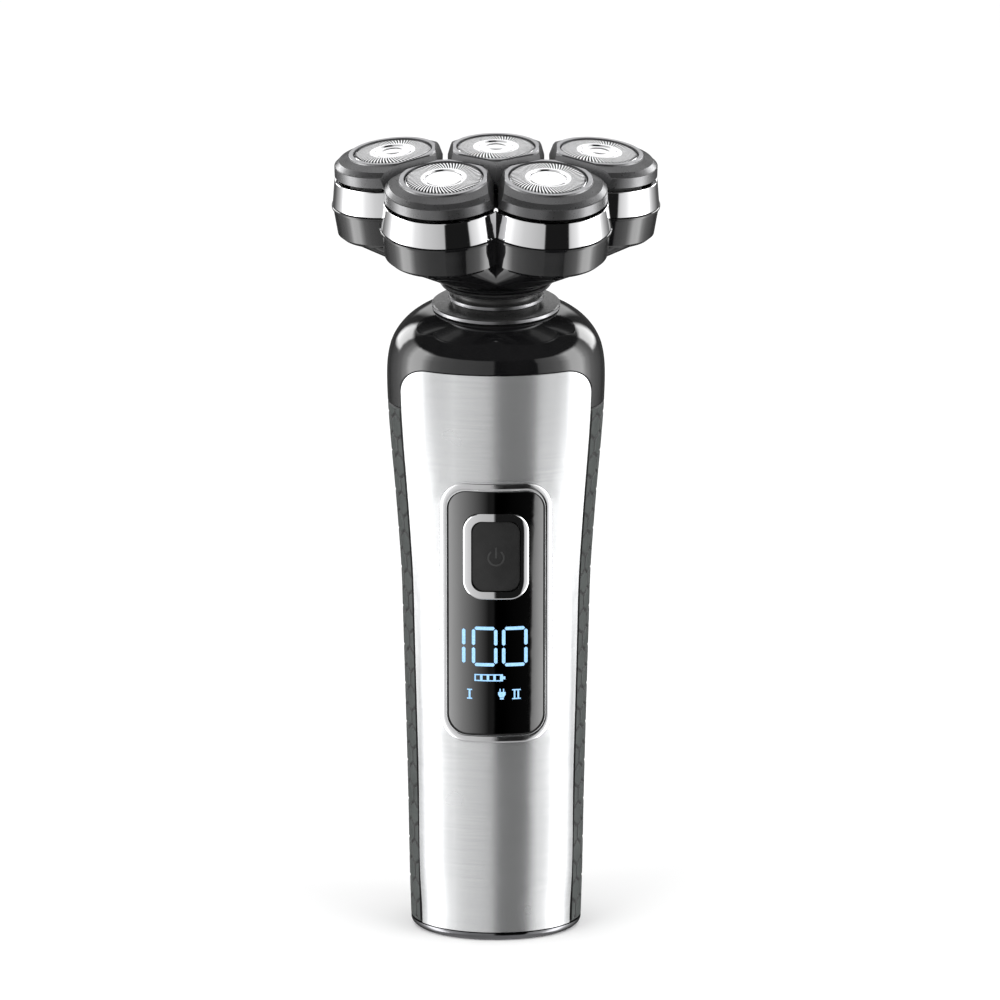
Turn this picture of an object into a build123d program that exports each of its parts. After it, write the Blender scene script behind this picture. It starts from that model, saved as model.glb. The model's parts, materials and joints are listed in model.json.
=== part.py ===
"""Five-head rotary shaver: handle, detachable head, gear train and five floating cutter pods.

Frame: millimetres, origin at the centre of the flat base, +Z up the handle,
-Y out of the front panel, +X to the right seen from the front.
"""
from build123d import *
import os
from math import acos, atan2, cos, degrees, hypot, pi, radians, sin, sqrt, tan

# ---------------------------------------------------------------- handle, overall
BODY_STATIONS = [
    (0.0, 18.35), (10.0, 18.65), (30.0, 19.05), (50.0, 19.55), (66.0, 20.0), (80.0, 20.45),
    (88.0, 21.0), (97.0, 21.7), (106.0, 22.5), (114.0, 23.1), (120.0, 23.35), (127.3, 22.75),
]                                  # height and half width of the oval section
DEPTH_RATIO = 0.93                 # half depth over half width
SHELL_BOTTOM = 1.9                 # lower edge of the panel, the grips and the rear cover
CREASE_Z = 127.3                   # edge between the upright band and the shoulder
GRIP_TOP_Z = 115.6                 # upper edge of the grips and the rear cover
SEAM_GAP = 0.25                    # open line between two outer shells
PANEL_ANGLE = 62.2                 # half angle of the front panel, from the front
SPINE_ANGLE = 142.0                # where each side grip meets the rear spine
PANEL_TOP_Z = 124.8
PANEL_TOP_HALF_WIDTH = 20.3
PANEL_CORNER = 5.4
PANEL_THICKNESS = 1.1
GRIP_THICKNESS = 1.6
REAR_THICKNESS = 1.5
FAR = 60.0                         # half size of the cutting blocks

# ---------------------------------------------------------------- window, button, display
WINDOW_LOW, WINDOW_HIGH, WINDOW_HALF, WINDOW_CORNER = 45.8, 99.7, 10.5, 4.3
RIM_LOW, RIM_HIGH, RIM_HALF, RIM_CORNER = 44.2, 101.6, 12.0, 5.6
RIM_PROUD = 0.35                   # raised frame pressed into the panel around the window
BUTTON_MID_Z = 85.3
BUTTON_HEIGHT, BUTTON_WIDTH, BUTTON_CORNER = 15.2, 10.1, 2.6
RING_HEIGHT, RING_WIDTH, RING_CORNER = 18.8, 14.0, 3.6
BUTTON_CLEARANCE = 0.25
FLANGE_LIP = 0.75                  # how far the button's flange reaches behind its ring

# ---------------------------------------------------------------- inside the handle
BOARD_Y, BOARD_THICKNESS, BOARD_HALF, BOARD_LOW, BOARD_HIGH = -10.4, 1.2, 9.5, 44.0, 98.0
BATTERY_RADIUS, BATTERY_LOW, BATTERY_HIGH, BATTERY_Y = 7.0, 14.0, 64.0, 3.0
CROSS_WALLS, CROSS_WALL_THICKNESS = (10.0, 38.0, 66.0, 86.0), 2.0
MOTOR_RADIUS, MOTOR_FLAT, MOTOR_LOW, MOTOR_HIGH = 10.2, 7.7, 90.0, 115.0
SHAFT_RADIUS = 1.0
BRACKET_GAP, BRACKET_THICKNESS = 1.6, 1.8
ARMATURE_RADIUS = 5.6
COUPLER_RADIUS, COUPLER_LOW, COUPLER_HIGH = 3.2, 130.0, 145.0
SOCKET_RADIUS, SOCKET_DEPTH = 2.0, 4.0
RUNNING = 0.05                     # radial clearance of a running fit

# ---------------------------------------------------------------- neck
NECK_Z = 136.0                     # centre of the neck collar, on the handle's axis
NECK_TILT = 7.0                    # the neck leans forward
SHOULDER_BULGE = 0.7               # share of a quarter round in the shoulder's outline
SHOULDER_STEPS = 6
SHOULDER_WALL = 2.0
COLLAR_RADIUS, COLLAR_LOW, COLLAR_HIGH = 13.7, -0.1, 0.95
MOUTH_RADIUS = 11.3                # hole in the shoulder under the collar
POST_RADIUS, POST_TOP, POST_BORE = 9.15, 8.6, 4.3
POST_RING_RADIUS, POST_RING_LOW, POST_RING_HIGH = 10.2, 1.9, 2.9
HEAD_RING_RADIUS, HEAD_RING_LOW, HEAD_RING_HIGH = 12.1, 5.05, 5.95

# ---------------------------------------------------------------- head
HEAD_TILT = 11.0                   # the row of foils leans forward a little more than the neck
HEAD_ALONG_NECK = 17.5             # from the collar to the gears' mid plane
MODULE = 0.5
SUN_TEETH, GEAR_TEETH, IDLER_TEETH = 18, 28, 12
GEAR_HALF = 1.3                    # half thickness of the gears
ROW_DEPTH = 16.3                   # between the rear and the front row of gears
SIDE_LEAN, ROW_LEAN = 5.5, 3.0     # outward lean of the pods, sideways and front to back
POD_HEIGHTS = {"rear_centre": 13.9, "side": 12.9, "front": 13.5}

# ---------------------------------------------------------------- pods, measured down from the foil's top
RING_OUTER = 9.5
CAP_SHOULDER_R, CAP_SHOULDER_Z = 12.55, -2.0
CAP_RIM_R, CAP_RIM_Z = 12.9, -4.2
CAP_FLAT_GAP, CAP_FLAT_SLOPE, CAP_FLAT_LEAST = 0.7, 1.2, 8.65
CAP_FLOOR_HOLE, CAP_FLOOR_TOP = 7.9, -3.5
FOIL_RADIUS, FOIL_FLANGE_R, FOIL_WALL = 8.4, 9.2, 0.5
FOIL_SKIRT_Z = -1.9
CUTTER_RADIUS, CUTTER_TOP, CUTTER_LOW, BLADES = 7.4, -0.55, -2.5, 9
STEM_RADIUS, STEM_FOOT = 1.1, 2.1   # the stem's foot is measured up from the gears' mid plane
HINGE_X, HINGE_Z, HINGE_PIN_R, HINGE_PIN_HALF = -6.5, -6.3, 0.75, 7.3
POST_Y, EAR_Y, LUG_THICKNESS = 4.2, 6.2, 1.3
BAND_TOP_R, BAND_TOP_Z, BAND_LOW_R, BAND_LOW_Z = 13.05, -5.1, 13.95, -10.45
RIDGE_R, RIDGE_TOP, RIDGE_LOW = 14.2, -10.6, -11.3
LOBE_TOP_R, LOBE_LOW_R, LOBE_LOW_Z, LOBE_ROUND = 13.9, 13.5, -17.8, 0.9
WALL = 1.3
UNDERSIDE_SHIFT = 0.9             # how far each slanting cone starts from the neck's axis
DECK_LOW, DECK_HIGH = 3.3, 4.2     # deck over the gears, measured up from the gears' mid plane
PLATE_LOW, PLATE_HIGH = -2.4, -1.6

os.makedirs("parts", exist_ok=True)


def save(name, shape):
    """Writes one piece to its own file."""
    export_step(shape, f"parts/{name}.step")


def block(x0, x1, y0, y1, z0, z1):
    """An upright box between two corners."""
    return Pos((x0 + x1) / 2, (y0 + y1) / 2, (z0 + z1) / 2) * Box(x1 - x0, y1 - y0, z1 - z0)


def disc(radius, z0, z1, x=0.0, y=0.0):
    """An upright cylinder between two heights."""
    return Pos(x, y, (z0 + z1) / 2) * Cylinder(radius, z1 - z0)


def turned(points):
    """A solid of revolution about Z from (radius, height) corners."""
    return revolve(Plane.XZ * make_face(Polyline(*points, close=True)), Axis.Z)


# ================================================================ handle shells

def body(inset):
    """The oval body, pulled in all round by an inset."""
    ovals = [Pos(0, 0, z) * Ellipse(a - inset, a * DEPTH_RATIO - inset) for z, a in BODY_STATIONS]
    return loft(ovals)


def slab(low, high):
    """Everything between two heights."""
    return block(-FAR, FAR, -FAR, FAR, low, high)


def wedge(start, end):
    """An upright sector between two angles, counted from the front towards +X."""
    steps = 8
    rim = [(2 * FAR * sin(radians(a)), -2 * FAR * cos(radians(a)))
           for a in (start + (end - start) * i / steps for i in range(steps + 1))]
    return extrude(make_face(Polyline((0, 0), *rim, close=True)), 200)


def front_prism(low, high, half, corner, y0=-FAR, y1=0.0):
    """A rounded rectangle seen from the front, run through along Y."""
    plane = Plane((0, y1, (low + high) / 2), x_dir=(1, 0, 0), z_dir=(0, -1, 0))
    return extrude(plane * RectangleRounded(2 * half, high - low, corner), y1 - y0)


INSETS = {}


def inset_body(inset):
    """The same oval, kept for the next use."""
    if inset not in INSETS:
        INSETS[inset] = body(inset)
    return INSETS[inset]


def shell(outer_inset, inner_inset, low, high):
    """A wall of the oval body between two insets and two heights."""
    ring = inset_body(outer_inset) - inset_body(inner_inset)
    return ring & slab(low, high)


def panel_region(gap):
    """The space of the front panel, made larger all round by a gap."""
    angle = PANEL_ANGLE + degrees(gap / 20.0)
    mask = front_prism(-20, PANEL_TOP_Z + gap, PANEL_TOP_HALF_WIDTH + gap, PANEL_CORNER + gap)
    return wedge(-angle, angle) & mask


def front_panel():
    """Brushed steel front with a raised frame around its window."""
    wall = shell(0, PANEL_THICKNESS, SHELL_BOTTOM, PANEL_TOP_Z) & panel_region(0)
    rim = inset_body(-RIM_PROUD) - inset_body(PANEL_THICKNESS)
    wall = wall + (rim & front_prism(RIM_LOW, RIM_HIGH, RIM_HALF, RIM_CORNER))
    return wall - front_prism(WINDOW_LOW, WINDOW_HIGH, WINDOW_HALF, WINDOW_CORNER)


def display_lens():
    """Dark window behind the frame, with the hole for the button's ring."""
    lens = shell(0.1, PANEL_THICKNESS, WINDOW_LOW, WINDOW_HIGH)
    lens = lens & front_prism(WINDOW_LOW + 0.1, WINDOW_HIGH - 0.1, WINDOW_HALF - 0.1, WINDOW_CORNER - 0.1)
    return lens - button_prism(RING_HEIGHT + 0.1, RING_WIDTH + 0.1, RING_CORNER + 0.05)


def button_prism(height, width, corner):
    """A rounded rectangle around the button's centre, run through along Y."""
    return front_prism(BUTTON_MID_Z - height / 2, BUTTON_MID_Z + height / 2, width / 2, corner)


def button_ring():
    """Chrome ring around the button."""
    ring = inset_body(-0.5) - inset_body(PANEL_THICKNESS)
    ring = ring & button_prism(RING_HEIGHT, RING_WIDTH, RING_CORNER)
    opening = button_prism(BUTTON_HEIGHT + 2 * BUTTON_CLEARANCE, BUTTON_WIDTH + 2 * BUTTON_CLEARANCE,
                           BUTTON_CORNER + BUTTON_CLEARANCE)
    return ring - opening


def power_button():
    """Button cap with a flange that keeps it behind its ring."""
    cap = shell(-0.1, 2.0, 60, 110) & button_prism(BUTTON_HEIGHT, BUTTON_WIDTH, BUTTON_CORNER)
    flange = shell(PANEL_THICKNESS + 0.15, 2.0, 60, 110)
    lip = 2 * FLANGE_LIP
    return cap + (flange & button_prism(BUTTON_HEIGHT + lip, BUTTON_WIDTH + lip, BUTTON_CORNER))


def grip(side):
    """Soft side grip, from the panel's edge round to the rear spine."""
    seam = degrees(SEAM_GAP / 20.0)
    wall = shell(0, GRIP_THICKNESS, SHELL_BOTTOM, GRIP_TOP_Z)
    start, end = PANEL_ANGLE + seam, SPINE_ANGLE - seam / 2
    return wall & (wedge(start, end) if side > 0 else wedge(-end, -start))


def rear_cover():
    """Rear half shell under the grips, with a spine that shows between them."""
    seam = degrees(SEAM_GAP / 20.0)
    inner = GRIP_THICKNESS + REAR_THICKNESS
    under = shell(GRIP_THICKNESS, inner, SHELL_BOTTOM, GRIP_TOP_Z)
    under = under & wedge(PANEL_ANGLE + seam, 360 - PANEL_ANGLE - seam)
    spine = shell(0, inner, SHELL_BOTTOM, GRIP_TOP_Z)
    return under + (spine & wedge(SPINE_ANGLE + seam / 2, 360 - SPINE_ANGLE - seam / 2))


def neck(shape):
    """Moves a shape from the neck's own frame to the handle's frame."""
    return Pos(0, 0, NECK_Z) * Rot(NECK_TILT, 0, 0) * shape


def dome(low_z, low_half, low_depth, high_z, mouth_radius):
    """Rounded solid from an oval up to the neck's circle; its sections lean over gradually."""
    sections = []
    for step in range(SHOULDER_STEPS + 1):
        share = step / SHOULDER_STEPS
        quarter = share * 90
        rise = share + SHOULDER_BULGE * (sin(radians(quarter)) - share)
        narrowing = share + SHOULDER_BULGE * (1 - cos(radians(quarter)) - share)
        half = low_half + (mouth_radius - low_half) * narrowing
        depth = low_depth + (mouth_radius - low_depth) * narrowing
        place = Pos(0, 0, low_z + (high_z - low_z) * rise) * Rot(NECK_TILT * rise, 0, 0)
        sections.append(place * Ellipse(half, depth))
    return loft(sections)


def upper_housing():
    """Gloss shoulder from the grips up to the neck collar."""
    half = BODY_STATIONS[-1][1]
    depth = half * DEPTH_RATIO
    wall = SHOULDER_WALL
    outside = dome(CREASE_Z, half, depth, NECK_Z + COLLAR_LOW - 0.05, COLLAR_RADIUS - 0.35)
    inside = dome(CREASE_Z - 1, half - wall, depth - wall, NECK_Z - 1.4, MOUTH_RADIUS)
    shoulder = outside - inside - neck(disc(MOUTH_RADIUS, -3, 1))
    band = shell(0, wall, GRIP_TOP_Z + SEAM_GAP, CREASE_Z) - panel_region(SEAM_GAP)
    return shoulder + band


def base_ring():
    """Polished ring around the foot, rounded in towards the floor."""
    half = BODY_STATIONS[0][1]
    top = SHELL_BOTTOM - 0.2
    sections = [(0.15, half - 1.1), (0.5, half - 0.45), (1.0, half - 0.1), (top, half + 0.05)]
    outside = loft([Pos(0, 0, z) * Ellipse(a, a * DEPTH_RATIO) for z, a in sections])
    return outside - extrude(Ellipse(half - 2.4, half * DEPTH_RATIO - 2.4), 4)


PORT_WIDTH, PORT_HEIGHT, PORT_WALL, PORT_DEPTH, PORT_Y = 8.94, 3.26, 0.3, 7.0, 9.0
BASE_SCREW_X = 11.0
BOARD_SCREW_Z = (46.5, 76.0)


def port_profile(grow, z0, z1):
    """The charging port's rounded outline, run upwards."""
    outline = RectangleRounded(PORT_WIDTH + 2 * grow, PORT_HEIGHT + 2 * grow, PORT_HEIGHT / 2 + grow - 0.01)
    return Pos(0, PORT_Y, z0) * extrude(outline, z1 - z0)


def base_cap():
    """Foot plate that the handle stands on, with the port's opening and two screw holes."""
    half = BODY_STATIONS[0][1] - 2.45
    plate = extrude(Ellipse(half, BODY_STATIONS[0][1] * DEPTH_RATIO - 2.45), SHELL_BOTTOM - 0.15)
    plate = plate - port_profile(0.05, -1, 4)
    for side in (-1, 1):
        plate = plate - disc(1.05, -1, 4, side * BASE_SCREW_X) - disc(2.05, -1, 1.3, side * BASE_SCREW_X)
    return plate


def charging_socket():
    """USB-C socket: a thin shell with a contact tongue and a closed back."""
    can = port_profile(0, 0.4, PORT_DEPTH + 0.4) - port_profile(-PORT_WALL, 0.4, PORT_DEPTH - 0.6)
    return can + block(-3.3, 3.3, PORT_Y - 0.35, PORT_Y + 0.35, 1.2, PORT_DEPTH)


def screw(length, head_radius=1.9, shank_radius=1.0):
    """A small pan-head screw, head down at z = 0, shank upwards, with a cross recess."""
    body_of_screw = disc(head_radius, 0, 1.0) + disc(shank_radius, 1.0, length)
    return body_of_screw - block(-1.2, 1.2, -0.25, 0.25, 0, 0.5) - block(-0.25, 0.25, -1.2, 1.2, 0, 0.5)


def handle_screws():
    """The foot plate's two screws and the board's two screws."""
    base = [Pos(side * BASE_SCREW_X, 0, 0.25) * screw(5.5) for side in (-1, 1)]
    head_y = BOARD_Y - BOARD_THICKNESS - 1.0
    board = [Pos(0, head_y, z) * Rot(-90, 0, 0) * screw(4.5) for z in BOARD_SCREW_Z]
    return Compound(children=base + board)


def chassis():
    """Inner frame: a front cradle under the panel and cross walls for the cell and the motor."""
    cradle = shell(PANEL_THICKNESS + 0.25, 2.6, 4.0, 113.0) & wedge(-PANEL_ANGLE + 4, PANEL_ANGLE - 4)
    cradle = cradle - front_prism(WINDOW_LOW - 0.4, WINDOW_HIGH + 0.4, WINDOW_HALF + 0.4, WINDOW_CORNER)
    front_half = block(-FAR, FAR, -FAR, -4.0, 0, 200)
    rails = block(10.5, 12.5, -7, -4, 10, 88) + block(-12.5, -10.5, -7, -4, 10, 88)
    frame = cradle + rails
    for low in CROSS_WALLS:
        frame = frame + (inset_body(3.5) & slab(low, low + CROSS_WALL_THICKNESS))
    bridge = inset_body(2.2) & front_half & wedge(-40, 40)
    for low in CROSS_WALLS[:2]:
        frame = frame + (bridge & slab(low, low + CROSS_WALL_THICKNESS))
    frame = frame - disc(BATTERY_RADIUS + 0.1, BATTERY_LOW - 0.5, BATTERY_HIGH + 1, 0, BATTERY_Y)
    frame = frame - block(-BOARD_HALF - 0.3, BOARD_HALF + 0.3, -FAR, BOARD_Y + 0.1, BOARD_LOW - 0.5, 100)
    return frame - disc(3.0, 80, 92)


# ================================================================ inside the handle

def main_board():
    """Circuit board behind the window."""
    board = block(-BOARD_HALF, BOARD_HALF, BOARD_Y - BOARD_THICKNESS, BOARD_Y, BOARD_LOW, BOARD_HIGH)
    for z in BOARD_SCREW_Z:
        board = board - Pos(0, BOARD_Y, z) * Rot(90, 0, 0) * Cylinder(1.1, 10)
    return board


def display_module():
    """Light block behind the dark window."""
    front = BOARD_Y - BOARD_THICKNESS
    return block(-8.2, 8.2, front - 2.2, front, 49.0, 73.0)


def tact_switch():
    """Push switch under the button: square base and round plunger."""
    front = BOARD_Y - BOARD_THICKNESS
    base = block(-3, 3, front - 2.6, front, BUTTON_MID_Z - 3, BUTTON_MID_Z + 3)
    plunger = Pos(0, front - 3.1, BUTTON_MID_Z) * Rot(90, 0, 0) * Cylinder(1.7, 1.2)
    return base + plunger


def battery_cell():
    """Round cell with a raised positive end."""
    can = fillet(disc(BATTERY_RADIUS, BATTERY_LOW, BATTERY_HIGH).edges(), 0.6)
    cell = can + disc(2.6, BATTERY_HIGH, BATTERY_HIGH + 0.9)
    return Pos(0, BATTERY_Y, 0) * cell


def motor_can():
    """Flat-sided steel can with a front boss, open at its rear end."""
    flats = block(-FAR, FAR, -MOTOR_FLAT, MOTOR_FLAT, 0, 200)
    room = block(-FAR, FAR, -MOTOR_FLAT + 1, MOTOR_FLAT - 1, 0, 200)
    can = disc(MOTOR_RADIUS, MOTOR_LOW, MOTOR_HIGH) & flats
    can = can - (disc(MOTOR_RADIUS - 1, MOTOR_LOW - 1, MOTOR_HIGH - 1.2) & room)
    return can + disc(3.0, MOTOR_HIGH, MOTOR_HIGH + 1.5) - disc(SHAFT_RADIUS + RUNNING, 80, 120)


def motor_end_cap():
    """Plastic end of the motor with its rear bearing."""
    flats = block(-FAR, FAR, -MOTOR_FLAT, MOTOR_FLAT, 0, 200)
    cap = (disc(MOTOR_RADIUS, MOTOR_LOW - 1.9, MOTOR_LOW) & flats) + disc(2.8, MOTOR_LOW, MOTOR_LOW + 1.5)
    return cap - disc(SHAFT_RADIUS + RUNNING, MOTOR_LOW - 1.0, 120)


def motor_bracket():
    """Plate inside the shoulder that holds the motor's front."""
    plate = inset_body(2.2) & slab(MOTOR_HIGH + BRACKET_GAP, MOTOR_HIGH + BRACKET_GAP + BRACKET_THICKNESS)
    return plate - disc(2.0, 100, 130)


def motor_shaft():
    """Steel shaft from the rear bearing up to the coupler."""
    return disc(SHAFT_RADIUS, MOTOR_LOW - 0.9, COUPLER_HIGH - SOCKET_DEPTH - 1)


def motor_armature():
    """Three-pole armature on the shaft."""
    core = disc(3.0, MOTOR_LOW + 5, MOTOR_HIGH - 5)
    for pole in range(3):
        arm = block(2.0, 4.2, -1.4, 1.4, MOTOR_LOW + 5, MOTOR_HIGH - 5)
        shoe = disc(ARMATURE_RADIUS, MOTOR_LOW + 5, MOTOR_HIGH - 5) - disc(4.1, 0, 200)
        shoe = shoe & wedge(45, 135)
        core = core + Rot(0, 0, 120 * pole) * (arm + shoe)
    return core - disc(SHAFT_RADIUS, 0, 200)


def drive_coupler():
    """Coupler on the motor's shaft with a socket for the head's stem."""
    body_of_coupler = disc(COUPLER_RADIUS, COUPLER_LOW, COUPLER_HIGH)
    body_of_coupler = body_of_coupler - disc(SOCKET_RADIUS, COUPLER_HIGH - SOCKET_DEPTH, COUPLER_HIGH + 1)
    return body_of_coupler - disc(SHAFT_RADIUS, 0, COUPLER_HIGH - SOCKET_DEPTH - 1)


def neck_collar():
    """Wide dark collar that closes the shoulder."""
    low, high, radius = COLLAR_LOW, COLLAR_HIGH, COLLAR_RADIUS
    collar = turned([(POST_BORE, low), (radius - 0.3, low), (radius, low + 0.3), (radius, high - 0.25),
                     (radius - 0.25, high), (POST_BORE, high)])
    return neck(collar)


def neck_post():
    """Stepped spigot that carries the head."""
    foot, low, high, ring = COLLAR_HIGH, POST_RING_LOW, POST_RING_HIGH, POST_RING_RADIUS
    post = turned([(POST_BORE, foot), (POST_RADIUS + 0.3, foot), (POST_RADIUS + 0.3, low), (ring - 0.2, low),
                   (ring, low + 0.2), (ring, high - 0.2), (ring - 0.2, high), (POST_RADIUS, high),
                   (POST_RADIUS, POST_TOP - 0.4), (POST_RADIUS - 0.4, POST_TOP), (POST_BORE, POST_TOP)])
    return neck(post)


def neck_seal():
    """Rubber ring on the spigot, under the head."""
    low = POST_RING_HIGH + 0.8
    crest = POST_RADIUS + 0.45
    seal = turned([(POST_RADIUS, low), (crest, low + 0.15), (crest, low + 0.55), (POST_RADIUS, low + 0.7)])
    return neck(seal)


# ================================================================ head frame and pods

GEAR_PITCH_R = GEAR_TEETH * MODULE / 2
SUN_PITCH_R = SUN_TEETH * MODULE / 2
IDLER_PITCH_R = IDLER_TEETH * MODULE / 2
SUN_DISTANCE = GEAR_PITCH_R + SUN_PITCH_R
IDLER_DISTANCE = GEAR_PITCH_R + IDLER_PITCH_R
REAR_ROW = SUN_DISTANCE
FRONT_ROW = SUN_DISTANCE - ROW_DEPTH
FRONT_X = sqrt(SUN_DISTANCE ** 2 - FRONT_ROW ** 2)
SIDE_X = 2 * FRONT_X

POD_NAMES = ("rear_left", "rear_centre", "rear_right", "front_left", "front_right")
GEAR_PLACES = {
    "rear_left": (-SIDE_X, REAR_ROW), "rear_centre": (0.0, REAR_ROW), "rear_right": (SIDE_X, REAR_ROW),
    "front_left": (-FRONT_X, FRONT_ROW), "front_right": (FRONT_X, FRONT_ROW),
}
NEIGHBOURS = {
    "rear_left": ("rear_centre", "front_left"),
    "rear_centre": ("rear_left", "rear_right", "front_left", "front_right"),
    "rear_right": ("rear_centre", "front_right"),
    "front_left": ("rear_left", "rear_centre", "front_right"),
    "front_right": ("rear_right", "rear_centre", "front_left"),
}
HEAD_ORIGIN = Vector(0, -HEAD_ALONG_NECK * sin(radians(NECK_TILT)),
                     NECK_Z + HEAD_ALONG_NECK * cos(radians(NECK_TILT)))
HEAD = Pos(*HEAD_ORIGIN) * Rot(HEAD_TILT, 0, 0)


def pod_height(name):
    """Height of a pod's foil over the gears' mid plane."""
    if name.startswith("front"):
        return POD_HEIGHTS["front"]
    return POD_HEIGHTS["rear_centre" if name == "rear_centre" else "side"]


def pod_plane(name):
    """A pod's own frame inside the head's: origin at its foil's top, +Z out of the foil, +X outward."""
    x, v = GEAR_PLACES[name]
    lean_x = SIDE_LEAN * x / SIDE_X
    lean_v = ROW_LEAN if name.startswith("rear") else -ROW_LEAN
    out = Vector(tan(radians(lean_x)), tan(radians(lean_v)), 1)
    middle_v = (REAR_ROW + FRONT_ROW) / 2
    outward = Vector(x, v - middle_v, 0).normalized()
    across = out.normalized().cross(outward)
    return Plane(Vector(x, v, 0) + out * pod_height(name), x_dir=across.cross(out.normalized()), z_dir=out)


def pod(name, shape):
    """Moves a shape from a pod's own frame to the head's frame."""
    return pod_plane(name).location * shape


def neighbours_of(name):
    """Directions and half distances of the neighbouring pods in a pod's own frame."""
    plane = pod_plane(name)
    found = []
    for other in NEIGHBOURS[name]:
        towards = pod_plane(other).origin - plane.origin
        angle = degrees(atan2(towards.dot(plane.y_dir), towards.dot(plane.x_dir)))
        found.append((angle, towards.length / 2))
    return found


def flat_cutter(angle, half_distance):
    """What a sloping flat takes off a cap on the side of one neighbour."""
    rim = half_distance - CAP_FLAT_GAP
    top = max(rim - CAP_FLAT_SLOPE, CAP_FLAT_LEAST)
    foot = CAP_RIM_Z - 4
    outline = Polyline((top, 1), (top, -0.3), (rim, CAP_RIM_Z), (rim, foot), (30, foot), (30, 1), close=True)
    side = extrude(Plane.XZ * make_face(outline), 15, both=True)
    return Rot(0, 0, angle) * side


def cap(name):
    """Floating cap of one pod: sloping collar with a raised ring round the foil, and two hinge ears."""
    bore, room, ledge = FOIL_RADIUS + 0.1, FOIL_FLANGE_R + 0.15, FOIL_SKIRT_Z + 0.45
    shape = turned([(bore, 0.0), (RING_OUTER, -0.05), (RING_OUTER + 0.15, -0.35),
                    (CAP_SHOULDER_R - 0.9, CAP_SHOULDER_Z + 0.9), (CAP_SHOULDER_R, CAP_SHOULDER_Z),
                    (CAP_SHOULDER_R + 0.2, CAP_SHOULDER_Z - 0.1), (CAP_RIM_R, CAP_RIM_Z),
                    (CAP_FLOOR_HOLE, CAP_RIM_Z), (CAP_FLOOR_HOLE, CAP_FLOOR_TOP), (room, CAP_FLOOR_TOP),
                    (room, ledge), (bore, ledge)])
    for angle, half_distance in neighbours_of(name):
        shape = shape - flat_cutter(angle, half_distance)
    half = LUG_THICKNESS / 2
    ear = block(HINGE_X - 1.5, HINGE_X + 1.5, -half, half, HINGE_Z - 1.2, CAP_RIM_Z + 0.1)
    for side in (-1, 1):
        shape = shape + Pos(0, side * EAR_Y, 0) * ear
    pin_hole = Pos(HINGE_X, 0, HINGE_Z) * Rot(90, 0, 0) * Cylinder(HINGE_PIN_R + RUNNING, 30)
    return HEAD * pod(name, shape - pin_hole)


def foil(name):
    """Thin shaving foil: a raised slotted track round a dished centre, and a skirt with a flange."""
    inner = FOIL_RADIUS - FOIL_WALL
    flange = FOIL_SKIRT_Z + 0.4
    shape = turned([(0, -0.35), (4.2, -0.25), (4.6, -0.02), (FOIL_RADIUS - 0.5, 0.0), (FOIL_RADIUS, -0.5),
                    (FOIL_RADIUS, flange), (FOIL_FLANGE_R, flange), (FOIL_FLANGE_R, FOIL_SKIRT_Z),
                    (inner, FOIL_SKIRT_Z), (inner, -0.6), (inner - 0.1, -0.45), (4.6, -0.45), (0, -0.75)])
    return HEAD * pod(name, shape)


def cutter(name):
    """Spinning cutter: a ring of raked blades on a hub, with its drive stem."""
    stem_end = STEM_FOOT - pod_height(name)
    hub = turned([(0, -1.0), (3.6, -1.0), (CUTTER_RADIUS - 0.6, -1.9), (CUTTER_RADIUS - 0.6, CUTTER_LOW),
                  (3.0, CUTTER_LOW), (3.0, -5.2), (3.8, -5.2), (3.8, -5.8), (STEM_RADIUS, -5.8),
                  (STEM_RADIUS, stem_end + 0.5), (STEM_RADIUS - 0.4, stem_end), (0, stem_end)])
    blade = block(4.9, CUTTER_RADIUS, -0.35, 0.35, -2.1, CUTTER_TOP)
    for index in range(BLADES):
        hub = hub + Rot(0, 0, 360 / BLADES * index) * blade
    return HEAD * pod(name, hub)


def lobes(build):
    """The union of one turned lobe at each pod, in the head's frame."""
    shape = None
    for name in POD_NAMES:
        lobe = pod(name, build())
        shape = lobe if shape is None else shape + lobe
    return shape


def head_band():
    """Mirror band round all five pods."""
    def outside():
        return turned([(0, BAND_TOP_Z), (BAND_TOP_R - 0.1, BAND_TOP_Z), (BAND_TOP_R, BAND_TOP_Z - 0.15),
                       (BAND_LOW_R, BAND_LOW_Z), (0, BAND_LOW_Z)])

    def inside():
        top, low, foot = BAND_TOP_R - 0.8, BAND_LOW_R - 1.0, BAND_LOW_Z - 2
        return turned([(0, 0), (top, 0), (top, BAND_TOP_Z), (low, BAND_LOW_Z), (low, foot), (0, foot)])

    return HEAD * (lobes(outside) - lobes(inside))


def neck_to_head(shape):
    """Moves a shape from the neck's frame to the head's frame."""
    return Pos(0, 0, -HEAD_ALONG_NECK) * shape


NECK_IN_HEAD = Rot(NECK_TILT - HEAD_TILT, 0, 0)


def underside(name, lobe_radius, lobe_z, ring_radius, ring_along):
    """The slanting cone from the neck's ring up to the foot of one lobe, in the head's frame."""
    x, v = GEAR_PLACES[name]
    shift = UNDERSIDE_SHIFT / hypot(x, v)
    low = NECK_IN_HEAD * Pos(x * shift, v * shift, ring_along - HEAD_ALONG_NECK) * Circle(ring_radius)
    high = pod(name, Pos(0, 0, lobe_z) * Circle(lobe_radius))
    return loft([low, high], ruled=True)


SCREW_PLACES = [(0.0, -9.4), (FRONT_X, 16.4), (-FRONT_X, 16.4), (20.0, 0.6), (-20.0, 0.6)]


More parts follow.
